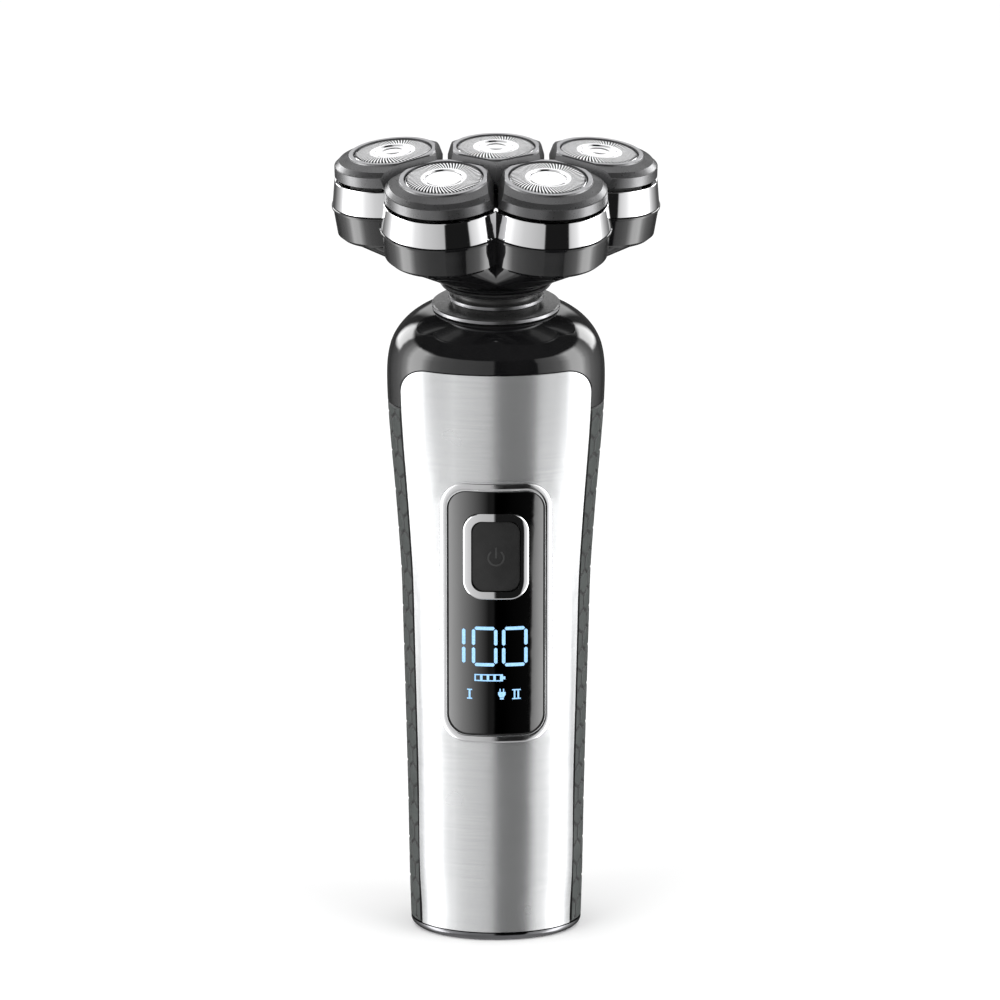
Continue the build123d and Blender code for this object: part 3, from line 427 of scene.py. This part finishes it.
def foil_bars():
    """The thin bars between the slots, each one a closed strip that bends over the foil's shoulder."""
    pitch = 2 * pi / SLOTS
    vertices, faces = [], []
    for bar in range(SLOTS):
        first = len(vertices)
        for r, z in BAR_LINE:
            slant = SLOT_SLANT * (r - TRACK_INNER) / (TRACK_OUTER - TRACK_INNER)
            middle = bar * pitch + slant
            half = BAR_SHARE * pitch * (TRACK_MIDDLE / r) ** BAR_TAPER
            for height in (z, z - BAR_DEPTH):
                for side in (-1, 1):
                    angle = middle + side * half
                    vertices.append((r * cos(angle), r * sin(angle), height))
        for k in range(len(BAR_LINE) - 1):
            a, b = first + 4 * k, first + 4 * (k + 1)
            faces += [[a, a + 1, b + 1, b], [a + 2, b + 2, b + 3, a + 3]]
            faces += [[a, b, b + 2, a + 2], [a + 1, a + 3, b + 3, b + 1]]
        last = first + 4 * (len(BAR_LINE) - 1)
        faces += [[first, first + 2, first + 3, first + 1], [last, last + 1, last + 3, last + 2]]
    return vertices, faces


def make_foils():
    """One slotted foil in place of each plain one."""
    dish, wall = turned(FOIL_DISH, FOIL_SEGMENTS), turned(FOIL_WALL, FOIL_SEGMENTS)
    vertices, faces = joined(dish, wall, foil_bars())
    for name in PODS:
        new_object(f"slotted_foil_{name}", placed(pod_matrix(name), vertices), faces, MATERIALS["foil_steel"],
                   f"foil_{name}", 35, (f"foil_{name}",))


NEIGHBOURS = {
    "rear_left": ("rear_centre", "front_left"),
    "rear_centre": ("rear_left", "rear_right", "front_left", "front_right"),
    "rear_right": ("rear_centre", "front_right"),
    "front_left": ("rear_left", "rear_centre", "front_right"),
    "front_right": ("rear_right", "rear_centre", "front_left"),
}
RING_INNER, RING_OUTER, RING_TOP, RING_FOOT = 8.56, 9.46, 0.03, -0.3
RING_BEVEL, RING_SEGMENTS = 0.05, 240
# From the middle between two pods back to the edge of a cap's flat top, and the nearest such an edge may come
HALF_GAP, CAP_SLOPE, FLAT_MARGIN = 0.7, 1.2, 0.02
NEAREST_FLAT = 8.65
# A flat only cuts the ring on its own side, where the cosine of the angle between them is above this
LEAST_FACING = 0.1


def flats(name):
    """(direction, distance) of each flat of a pod's ring, in the pod's own frame."""
    inverse = pod_matrix(name).inverted()
    found = []
    for other in NEIGHBOURS[name]:
        towards = inverse @ pod_matrix(other).translation
        distance = max(towards.length / 2 - HALF_GAP - CAP_SLOPE, NEAREST_FLAT)
        found.append((atan2(towards.y, towards.x), distance - FLAT_MARGIN))
    return found


def make_rings():
    """Bright flat ring round each foil, cut straight towards its neighbours."""
    for name in PODS:
        sides = flats(name)
        vertices = []
        for s in range(RING_SEGMENTS):
            angle = 2 * pi * s / RING_SEGMENTS
            outer = RING_OUTER
            for direction, distance in sides:
                facing = cos(angle - direction)
                if facing > LEAST_FACING:
                    outer = min(outer, distance / facing)
            profile = ((RING_INNER, RING_FOOT), (RING_INNER, RING_TOP), (outer - RING_BEVEL, RING_TOP),
                       (outer, RING_TOP - RING_BEVEL), (outer, RING_FOOT))
            vertices += [(r * cos(angle), r * sin(angle), z) for r, z in profile]
        faces = loops_joined(RING_SEGMENTS, 5)
        new_object(f"cap_ring_{name}", placed(pod_matrix(name), vertices), faces, MATERIALS["trim"],
                   f"pod_{name}", 30)


# ------------------------------------------------------------ springs

SPRING_RADIUS, SPRING_WIRE, SPRING_TURNS = 3.0, 0.22, 4
# The CAD node's wire within this reach of a pod's axis is that pod's spring
SPRING_REACH = 3.9
TILT_ROOM, PRESS_ROOM = 0.45, 0.75
STEPS_PER_TURN, WIRE_SIDES = 28, 8


def coil(low, high):
    """A closed coil of round wire between two heights."""
    steps = SPRING_TURNS * STEPS_PER_TURN
    vertices, faces = [], []
    for s in range(steps + 1):
        angle = 2 * pi * s / STEPS_PER_TURN
        for w in range(WIRE_SIDES):
            turn = 2 * pi * w / WIRE_SIDES
            r = SPRING_RADIUS + SPRING_WIRE * cos(turn)
            z = low + (high - low) * s / steps + SPRING_WIRE * sin(turn)
            vertices.append((r * cos(angle), r * sin(angle), z))
    for s in range(steps):
        here, there = s * WIRE_SIDES, (s + 1) * WIRE_SIDES
        for w in range(WIRE_SIDES):
            n = (w + 1) % WIRE_SIDES
            faces.append([here + w, there + w, there + n, here + n])
    faces.append(list(range(WIRE_SIDES)))
    faces.append([steps * WIRE_SIDES + w for w in reversed(range(WIRE_SIDES))])
    return vertices, faces


def make_springs():
    """A coil under each pod, short enough for the pod's tilt."""
    wires = [v.co / MM for v in NODES["pod_springs"].data.vertices]
    for name in PODS:
        matrix = pod_matrix(name)
        inverse = matrix.inverted()
        near = [p for p in (inverse @ v for v in wires) if hypot(p.x, p.y) < SPRING_REACH]
        low = min(p.z for p in near) + SPRING_WIRE
        high = max(p.z for p in near) - SPRING_WIRE - TILT_ROOM
        vertices, faces = coil(low, high)
        spring = new_object(f"pod_spring_{name}", placed(matrix, vertices), faces, MATERIALS["spring_steel"],
                            "head", 60, ("pod_springs",))
        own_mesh(spring)


# ------------------------------------------------------------ bright edges of the neck

NECK_FOOT = 136.0
TRIM_PROUD, TRIM_DEPTH, TRIM_SEGMENTS = 0.02, 0.25, 160
# name: (body, lower edge, upper edge), each edge as (radius, height) along the slanting neck
TRIMS = {
    "collar_trim": ("handle", (13.7, 0.1), (13.7, 0.75)),
    "post_trim": ("handle", (10.2, 2.1), (10.2, 2.75)),
    "head_ring_trim": ("head", (11.68, 5.16), (12.1, 5.74)),
}


def make_trims():
    """Thin bright bands on the rims of the collar, the post and the head's ring."""
    up = Vector(JOINTS["head_detach"]["axis"]).normalized()
    across = Vector((1, 0, 0))
    matrix = Matrix((across, up.cross(across), up)).transposed().to_4x4()
    matrix.translation = Vector((0, 0, NECK_FOOT))
    for name, (body, low, high) in TRIMS.items():
        profile = [(low[0] + TRIM_PROUD, low[1]), (high[0] + TRIM_PROUD, high[1]),
                   (high[0] - TRIM_DEPTH, high[1]), (low[0] - TRIM_DEPTH, low[1])]
        vertices, faces = turned(profile, TRIM_SEGMENTS)
        new_object(name, placed(matrix, vertices), faces, MATERIALS["trim"], body, 30)


# ------------------------------------------------------------ grips

# Degrees from the front to the grip's edges at the panel and at the spine, and the seam there
PANEL_ANGLE, SPINE_ANGLE, SEAM_ANGLE = 62.2, 142.0, 0.72
GRIP_DEPTH, GRIP_STEP = 1.5, 0.25
HEX_SIDE = 2.85
GROOVE_HALF, GROOVE_DEPTH = 0.55, 0.36
SEAM_WIDTH = 0.4
# The plain band along the grip's edge, and the small chamfer in it
EDGE_BAND, EDGE_CHAMFER, EDGE_DROP = 0.7, 0.3, 0.25
# A face takes the painted groove shade below this share of the groove's depth
PAINTED_SHADE_FROM = 0.3
UNROLL_RADIUS = 20.0


def hex_height(u, z):
    """Depth of the hexagon grooves at a place on the unrolled grip, 0 on a cell and -1 in a groove."""
    across = sqrt(3) * HEX_SIDE
    best = np.full(u.shape, np.inf)
    for shift_u, shift_z in ((0, 0), (across / 2, 1.5 * HEX_SIDE)):
        du = (u - shift_u + across / 2) % across - across / 2
        dz = (z - shift_z + 1.5 * HEX_SIDE) % (3 * HEX_SIDE) - 1.5 * HEX_SIDE
        reach = np.maximum(np.abs(du), np.abs(du * 0.5 + dz * sqrt(3) / 2))
        reach = np.maximum(reach, np.abs(du * 0.5 - dz * sqrt(3) / 2))
        best = np.minimum(best, reach)
    edge = np.clip((across / 2 - best) / GROOVE_HALF, 0, 1)
    return edge * edge * (3 - 2 * edge) - 1


def grip_relief(angle, height, start, end):
    """Height of the grip's face over the plain oval: grooves, a plain edge and a seam at the panel."""
    relief = hex_height(angle * UNROLL_RADIUS, height) * GROOVE_DEPTH
    rim = np.minimum(np.minimum(angle - start, end - angle) * UNROLL_RADIUS,
                     np.minimum(height - SHELL_BOTTOM, GRIP_TOP - height))
    relief = np.where(rim < EDGE_BAND, -EDGE_DROP * np.clip(1 - rim / EDGE_CHAMFER, 0, 1), relief)
    return np.where((angle - start) * UNROLL_RADIUS < SEAM_WIDTH, -GROOVE_DEPTH, relief)


def grid_border(rows, columns):
    """Vertices in order round the edge of a grid with so many rows and columns of faces."""
    wide = columns + 1
    border = list(range(wide)) + [r * wide + columns for r in range(1, rows + 1)]
    border += [rows * wide + c for c in range(columns - 1, -1, -1)]
    return border + [r * wide for r in range(rows - 1, 0, -1)]


def make_grip(side):
    """Side grip with its hexagon grooves as real relief, closed behind, with painted shade on the groove floors.
    """
    start, end = radians(PANEL_ANGLE + SEAM_ANGLE), radians(SPINE_ANGLE - SEAM_ANGLE / 2)
    columns = int((end - start) * UNROLL_RADIUS / GRIP_STEP)
    rows = int((GRIP_TOP - SHELL_BOTTOM) / GRIP_STEP)
    angles = np.linspace(start, end, columns + 1)
    heights = np.linspace(SHELL_BOTTOM, GRIP_TOP, rows + 1)
    angle, height = np.meshgrid(angles, heights)
    relief = grip_relief(angle, height, start, end)
    x, y = around(angle, height)
    reach = np.hypot(x, y)
    out_x, out_y = x * (reach + relief) / reach, y * (reach + relief) / reach
    in_x, in_y = x * (reach - GRIP_DEPTH) / reach, y * (reach - GRIP_DEPTH) / reach
    outer = np.stack([side * out_x, out_y, height], -1).reshape(-1, 3)
    inner = np.stack([side * in_x, in_y, height], -1).reshape(-1, 3)
    vertices = np.concatenate([outer, inner]).tolist()
    wide, behind = columns + 1, len(outer)
    faces = []
    for r in range(rows):
        for c in range(columns):
            a = r * wide + c
            faces.append([a, a + 1, a + 1 + wide, a + wide])
            faces.append([behind + a, behind + a + wide, behind + a + 1 + wide, behind + a + 1])
    border = grid_border(rows, columns)
    for k, a in enumerate(border):
        b = border[(k + 1) % len(border)]
        faces.append([b, a, a + behind, b + behind])
    if side < 0:
        faces = [face[::-1] for face in faces]
    name = "left" if side < 0 else "right"
    grip = new_object(f"hex_grip_{name}", vertices, faces, MATERIALS["soft_grip"],
                      "handle", 50, (f"grip_{name}",))
    # Faces deep in the grooves take the near-black second material, painted shade.
    grip.data.materials.append(PAINTED_GROOVE_SHADE)
    depth = np.append(relief.reshape(-1), np.zeros(behind))
    corners = np.zeros(len(grip.data.loops), dtype=int)
    grip.data.loops.foreach_get("vertex_index", corners)
    depths = depth[corners].reshape(-1, 4).mean(axis=1)
    grip.data.polygons.foreach_set("material_index", (depths < -PAINTED_SHADE_FROM * GROOVE_DEPTH).astype(int))


# ------------------------------------------------------------ display and button marks

# Marks are cut into strips this wide, out to the reach on both sides, so that they follow the curve
MARK_STEP, MARK_REACH = 0.6, 9.0
MARK_FOOT = 0.08


def mark(name, outlines, material, body, inset, proud):
    """Thin plates laid on the curve of the handle's front, from convex (x, z) outlines in millimetres."""
    sheet = bmesh.new()
    for outline in outlines:
        face = sheet.faces.new([sheet.verts.new((x, 0, z)) for x, z in outline])
        if face.normal.y > 0:
            face.normal_flip()
    for cut in np.arange(-MARK_REACH, MARK_REACH + 0.01, MARK_STEP):
        geometry = sheet.verts[:] + sheet.edges[:] + sheet.faces[:]
        bmesh.ops.bisect_plane(sheet, geom=geometry, plane_co=(cut, 0, 0), plane_no=(1, 0, 0), dist=1e-5)
    sheet.verts.index_update()
    places = np.array([tuple(v.co) for v in sheet.verts])
    depth = front_y(places[:, 0], places[:, 2], inset)
    fronts = [[v.index for v in face.verts] for face in sheet.faces]
    edges = [(edge.link_loops[0].vert.index, edge.link_loops[0].link_loop_next.vert.index)
             for edge in sheet.edges if edge.is_boundary]
    sheet.free()
    count = len(places)
    vertices = [(x, y - proud, z) for (x, _, z), y in zip(places, depth)]
    vertices += [(x, y + MARK_FOOT, z) for (x, _, z), y in zip(places, depth)]
    faces = fronts + [[i + count for i in reversed(face)] for face in fronts]
    faces += [[b, a, a + count, b + count] for a, b in edges]
    new_object(name, vertices, faces, material, body)


def bar(x0, x1, z0, z1):
    """An upright rectangle."""
    return [(x0, z0), (x1, z0), (x1, z1), (x0, z1)]


LENS_INSET, LENS_PROUD = 0.1, 0.05
DIGIT_WIDTH, DIGIT_HEIGHT, DIGIT_BASE = 4.75, 8.0, 61.4
SEGMENT, SEGMENT_GAP = 0.72, 0.14
SEGMENTS_OF = {"0": "abcdef", "1": "bc"}
# The two ends of each segment, as shares of the digit's width and height
SEGMENT_ENDS = {
    "a": ((0, 1), (1, 1)), "b": ((1, 1), (1, 0.5)), "c": ((1, 0.5), (1, 0)),
    "d": ((0, 0), (1, 0)), "e": ((0, 0.5), (0, 0)), "f": ((0, 1), (0, 0.5)),
}


def segment(letter, x, z):
    """The outline of one of a digit's segments, bevelled at both ends."""
    t, gap = SEGMENT / 2, SEGMENT_GAP
    (x0, z0), (x1, z1) = [(DIGIT_WIDTH * across, DIGIT_HEIGHT * up) for across, up in SEGMENT_ENDS[letter]]
    length = hypot(x1 - x0, z1 - z0)
    ux, uz = (x1 - x0) / length, (z1 - z0) / length
    points = [(gap + t * 0.2, 0), (gap + t, -t), (length - gap - t, -t), (length - gap - t * 0.2, 0),
              (length - gap - t, t), (gap + t, t)]
    return [(x + x0 + p * ux - q * uz, z + z0 + p * uz + q * ux) for p, q in points]


# The battery sign's inside, and the divisions in it
BATTERY_LEFT, BATTERY_LOW, BATTERY_HIGH = -4.3, 58.0, 59.05
CELLS, CELL_PITCH, CELL_MARK = 4, 1.42, 0.52
NUMERAL_LOW, NUMERAL_HIGH, SERIF = 54.0, 55.7, 0.25


def battery_sign():
    """A battery with its cells, as outlines."""
    low, high = BATTERY_LOW, BATTERY_HIGH
    outlines = [bar(-4.6, 1.5, high, high + 0.25), bar(-4.6, 1.5, low - 0.25, low),
                bar(-4.6, BATTERY_LEFT, low, high), bar(1.2, 1.5, low, high), bar(1.5, 2.0, 58.2, 58.85)]
    for k in range(CELLS):
        right = BATTERY_LEFT + CELL_PITCH * (k + 1)
        outlines.append(bar(right - CELL_MARK, right, low, high))
    return outlines


def numeral(left, right, strokes):
    """A Roman numeral as outlines: upright strokes between two serifs."""
    outlines = [bar(x0, x1, NUMERAL_LOW, NUMERAL_HIGH) for x0, x1 in strokes]
    outlines.append(bar(left, right, NUMERAL_HIGH, NUMERAL_HIGH + SERIF))
    outlines.append(bar(left, right, NUMERAL_LOW - SERIF, NUMERAL_LOW))
    return outlines


def make_display():
    """Charge figure, battery sign, speed numerals and plug sign, lit on the face of the dark window."""
    figures = []
    for digit, x in (("1", -11.65), ("0", -4.8), ("0", 1.65)):
        figures += [segment(letter, x, DIGIT_BASE) for letter in SEGMENTS_OF[digit]]
    one = numeral(-6.2, -5.1, [(-5.85, -5.45)])
    two = numeral(3.45, 5.3, [(3.8, 4.15), (4.6, 4.95)])
    plug = [bar(0.75, 1.0, 55.4, 56.1), bar(1.5, 1.75, 55.4, 56.1), bar(0.45, 2.05, 54.75, 55.4),
            [(0.5, 54.75), (0.8, 54.2), (1.7, 54.2), (2.0, 54.75)], bar(0.85, 1.65, 53.75, 54.1)]
    signs = {"display_figure": figures, "display_battery": battery_sign(), "display_speed_one": one,
             "display_speed_two": two, "display_plug": plug}
    for name, outlines in signs.items():
        mark(name, outlines, GLOW, "handle", LENS_INSET, LENS_PROUD)


CORNER_STEPS, STRAIGHT_STEP = 14, 0.8


def frame_path(half, low, high, corner):
    """(x, z, outward x, outward z) points round an upright rounded rectangle."""
    points = []
    for index, (side, up) in enumerate(((1, 1), (-1, 1), (-1, -1), (1, -1))):
        middle_x, middle_z = side * (half - corner), (high - corner if up > 0 else low + corner)
        for k in range(CORNER_STEPS + 1):
            angle = pi / 2 * (index + k / CORNER_STEPS)
            u, w = cos(angle), sin(angle)
            points.append((middle_x + corner * u, middle_z + corner * w, u, w))
    dense = []
    for (x0, z0, u, w), (x1, z1, _, _) in zip(points, points[1:] + points[:1]):
        parts = max(1, int(hypot(x1 - x0, z1 - z0) / STRAIGHT_STEP))
        dense += [(x0 + (x1 - x0) * k / parts, z0 + (z1 - z0) * k / parts, u, w) for k in range(parts)]
    return dense


def make_bead(name, path, profile, material, replaces=()):
    """A closed bead along a rounded rectangle on the handle's front."""
    points, vertices = frame_path(*path), []
    for x, z, u, w in points:
        for out, proud in profile:
            place_x, place_z = x + out * u, z + out * w
            vertices.append((place_x, float(front_y(place_x, place_z)) - proud, place_z))
    faces = loops_joined(len(points), len(profile))
    new_object(name, vertices, faces, material, "handle", 40, replaces)


# (half width, bottom, top, corner radius) of the beads' paths
RING_HALF_HEIGHT = 8.62
SEAL_PATH = (10.36, 45.94, 99.56, 4.16)
FRAME_PATH = (11.25, 45.0, 100.65, 4.95)
RING_PATH = (6.15, BUTTON_Z - RING_HALF_HEIGHT, BUTTON_Z + RING_HALF_HEIGHT, 3.2)
# (outward, proud) corners of the beads' sections
SEAL_SECTION = [(-0.16, -0.3), (-0.16, 0.02), (0.16, 0.02), (0.16, -0.3)]
FRAME_SECTION = [
    (-0.80, -0.3), (-0.80, 0.26), (-0.72, 0.38), (-0.5, 0.47), (-0.2, 0.52), (0.2, 0.52), (0.5, 0.46),
    (0.72, 0.34), (0.82, 0.2), (0.86, -0.3),
]
RING_SECTION = [(-0.85, -1.0), (-0.85, 0.5), (0.52, 0.5), (0.80, 0.39), (0.85, 0.30), (0.85, -1.0)]


def make_frames():
    """Rounded bright frame and dark seal round the window, and the button's flat chrome ring."""
    make_bead("window_seal", SEAL_PATH, SEAL_SECTION, MATERIALS["seal"])
    make_bead("window_frame", FRAME_PATH, FRAME_SECTION, MATERIALS["rim_steel"])
    make_bead("ring_of_button", RING_PATH, RING_SECTION, MATERIALS["chrome"], ("button_ring",))


BUTTON_INSET, BUTTON_PROUD = -0.1, 0.07
SIGN_INNER, SIGN_OUTER, SIGN_OPENING, SIGN_STEPS = 1.45, 1.85, 38, 28
SIGN_Z = BUTTON_Z - 0.3


def make_power_sign():
    """Raised power sign on the button: an open ring with an upright stroke."""
    opening = radians(SIGN_OPENING)
    outlines = []
    for k in range(SIGN_STEPS):
        a0 = opening + (2 * pi - 2 * opening) * k / SIGN_STEPS
        a1 = opening + (2 * pi - 2 * opening) * (k + 1) / SIGN_STEPS
        corners = ((SIGN_INNER, a0), (SIGN_INNER, a1), (SIGN_OUTER, a1), (SIGN_OUTER, a0))
        outlines.append([(r * sin(a), SIGN_Z + r * cos(a)) for r, a in corners])
    outlines.append(bar(-0.2, 0.2, BUTTON_Z - 0.4, BUTTON_Z + 2.0))
    mark("power_sign", outlines, MATERIALS["spine"], "button", BUTTON_INSET, BUTTON_PROUD)


# ------------------------------------------------------------ studio

BRIGHTEST = 8.0
# (degrees from the camera's side towards the right, brightness) of the studio round the shaver
WALLS = [
    (-180, 0.08), (-150, 0.10), (-140, 0.25), (-128, 0.5), (-118, 0.9), (-108, 2.0), (-100, 4.5), (-84, 4.5),
    (-77, 2.6), (-70, 1.25), (-58, 0.86), (-40, 0.64), (-12, 0.50), (-2, 0.45), (-1.2, 0.01), (42, 0.01),
    (43, 0.50), (48, 0.68), (58, 0.86), (70, 1.25), (77, 2.6), (84, 4.5), (100, 4.5), (108, 2.0),
    (118, 0.9), (128, 0.5), (140, 0.25), (150, 0.10), (180, 0.08),
]
CEILING, BACK_CEILING, FLOOR_GLOW = 0.05, 0.8, 0.45
SIDE_PANEL, REAR_PANEL = 5.0, 1.35
PLAIN_LIGHT = 1.05
# Where each panel begins and where it is whole: degrees away from the front, or a share of the way up or down
SIDE_TURN, SIDE_END, SIDE_RISE = (124, 130), (-154, -146), (0.06, 0.2)
CEILING_RISE, FLOOR_FALL = (0.50, 0.58), (0.66, 0.76)
BACK_TURN, BACK_RISE = (125, 137), (0.55, 0.63)
REAR_TURN, REAR_RISE, REAR_TOP = (160, 168), (0.22, 0.34), (-0.88, -0.78)


def world_light():
    """Plain soft light for surfaces, and a studio of panels and one dark strip for their reflections."""
    world = bpy.data.worlds.new("studio")
    bpy.context.scene.world = world
    world.use_nodes = True
    tree = world.node_tree
    tree.nodes.clear()

    def put(socket, value):
        if isinstance(value, bpy.types.NodeSocket):
            tree.links.new(value, socket)
        else:
            socket.default_value = value

    def maths(operation, *values):
        node = tree.nodes.new("ShaderNodeMath")
        node.operation = operation
        for socket, value in zip(node.inputs, values):
            put(socket, value)
        return node.outputs[0]

    def step(value, start, end):
        node = tree.nodes.new("ShaderNodeMapRange")
        node.interpolation_type = "SMOOTHSTEP"
        put(node.inputs["Value"], value)
        put(node.inputs["From Min"], start)
        put(node.inputs["From Max"], end)
        return node.outputs[0]

    def blended(share, below, above):
        node = tree.nodes.new("ShaderNodeMixRGB")
        for socket, value in zip(node.inputs, (share, below, above)):
            put(socket, value)
        return node.outputs[0]

    split = tree.nodes.new("ShaderNodeSeparateXYZ")
    put(split.inputs[0], tree.nodes.new("ShaderNodeTexCoord").outputs["Generated"])
    x, y, z = split.outputs
    azimuth = maths("ARCTAN2", x, maths("MULTIPLY", y, -1.0))
    ramp = tree.nodes.new("ShaderNodeValToRGB")
    put(ramp.inputs[0], maths("MULTIPLY_ADD", azimuth, 1 / (2 * pi), 0.5))
    elements = ramp.color_ramp.elements
    elements[0].color = elements[-1].color = grey(WALLS[0][1] / BRIGHTEST)
    for angle, value in WALLS[1:-1]:
        elements.new((angle + 180) / 360).color = grey(value / BRIGHTEST)
    # Laid over the walls in turn: side panels, ceiling, floor, back ceiling, rear panel
    turn = maths("ABSOLUTE", azimuth)
    turn_back, z_down = maths("MULTIPLY", turn, -1.0), maths("MULTIPLY", z, -1.0)
    beside = maths("MULTIPLY", step(turn, *map(radians, SIDE_TURN)), step(z, *SIDE_RISE))
    beside = maths("MULTIPLY", beside, step(turn_back, *map(radians, SIDE_END)))
    colour = blended(beside, ramp.outputs[0], grey(SIDE_PANEL / BRIGHTEST))
    colour = blended(step(z, *CEILING_RISE), colour, grey(CEILING / BRIGHTEST))
    colour = blended(step(z_down, *FLOOR_FALL), colour, grey(FLOOR_GLOW / BRIGHTEST))
    back_half = maths("MULTIPLY", step(turn, *map(radians, BACK_TURN)), step(z, *BACK_RISE))
    colour = blended(back_half, colour, grey(BACK_CEILING / BRIGHTEST))
    behind = maths("MULTIPLY", step(turn, *map(radians, REAR_TURN)), step(z, *REAR_RISE))
    behind = maths("MULTIPLY", behind, step(z_down, *REAR_TOP))
    colour = blended(behind, colour, grey(REAR_PANEL / BRIGHTEST))
    reflected = tree.nodes.new("ShaderNodeBackground")
    put(reflected.inputs["Color"], colour)
    put(reflected.inputs["Strength"], BRIGHTEST)
    plain = tree.nodes.new("ShaderNodeBackground")
    put(plain.inputs["Color"], grey(1.0))
    put(plain.inputs["Strength"], PLAIN_LIGHT)
    choose = tree.nodes.new("ShaderNodeMixShader")
    put(choose.inputs[0], tree.nodes.new("ShaderNodeLightPath").outputs["Is Glossy Ray"])
    put(choose.inputs[1], plain.outputs[0])
    put(choose.inputs[2], reflected.outputs[0])
    put(tree.nodes.new("ShaderNodeOutputWorld").inputs[0], choose.outputs[0])


FLOOR_HALF = 3.0


def make_floor():
    """Plain pale floor."""
    mesh = bpy.data.meshes.new("floor")
    corners = [(FLOOR_HALF * x, FLOOR_HALF * y, 0) for x, y in ((-1, -1), (1, -1), (1, 1), (-1, 1))]
    mesh.from_pydata(corners, [], [[0, 1, 2, 3]])
    floor = bpy.data.objects.new("floor", mesh)
    bpy.context.scene.collection.objects.link(floor)
    n = Nodes("floor_paint")
    colour = n.ramp(n.noise(scale=3, detail=2), grey(0.94), grey(0.96))
    mesh.materials.append(n.finish(Base_Color=colour, Roughness=0.9, Specular_IOR_Level=0.0))
    floor.visible_glossy = False


CAMERA_ELEVATION = 12.0
CAMERA_DISTANCE = 1.8
SENSOR_WIDTH = 36.0
VIEW_WIDTH = 0.215
AIM = Vector((0.00086, 0.0, 0.0935))


def make_camera():
    """Long lens, a little above the shaver, square to its front panel."""
    data = bpy.data.cameras.new("camera")
    data.sensor_width = SENSOR_WIDTH
    data.lens = SENSOR_WIDTH * CAMERA_DISTANCE / VIEW_WIDTH
    data.clip_end = 20.0
    camera = bpy.data.objects.new("camera", data)
    bpy.context.scene.collection.objects.link(camera)
    rise = radians(CAMERA_ELEVATION)
    camera.location = AIM + CAMERA_DISTANCE * Vector((0, -cos(rise), sin(rise)))
    camera.rotation_euler = (pi / 2 - rise, 0, 0)
    bpy.context.scene.camera = camera


LAMPS_FACE = Vector((0, 0, 0.1))


def soft_box(name, place, size, power):
    """One large soft lamp that faces the shaver."""
    data = bpy.data.lights.new(name, "AREA")
    data.shape = "RECTANGLE"
    data.size, data.size_y = size
    data.energy = power
    lamp = bpy.data.objects.new(name, data)
    bpy.context.scene.collection.objects.link(lamp)
    lamp.location = place
    lamp.rotation_euler = (LAMPS_FACE - Vector(place)).to_track_quat("-Z", "Y").to_euler()
    lamp.visible_glossy = False


make_camera()
dress_cad_nodes()
make_foils()
make_rings()
make_springs()
make_trims()
make_grip(-1)
make_grip(1)
make_frames()
make_display()
make_power_sign()
world_light()
make_floor()
soft_box("key_left", (-0.7, -0.8, 0.9), (0.7, 0.7), 4.0)
soft_box("key_right", (0.8, -0.6, 0.8), (0.7, 0.7), 3.0)
bpy.context.scene.view_settings.view_transform = "Standard"
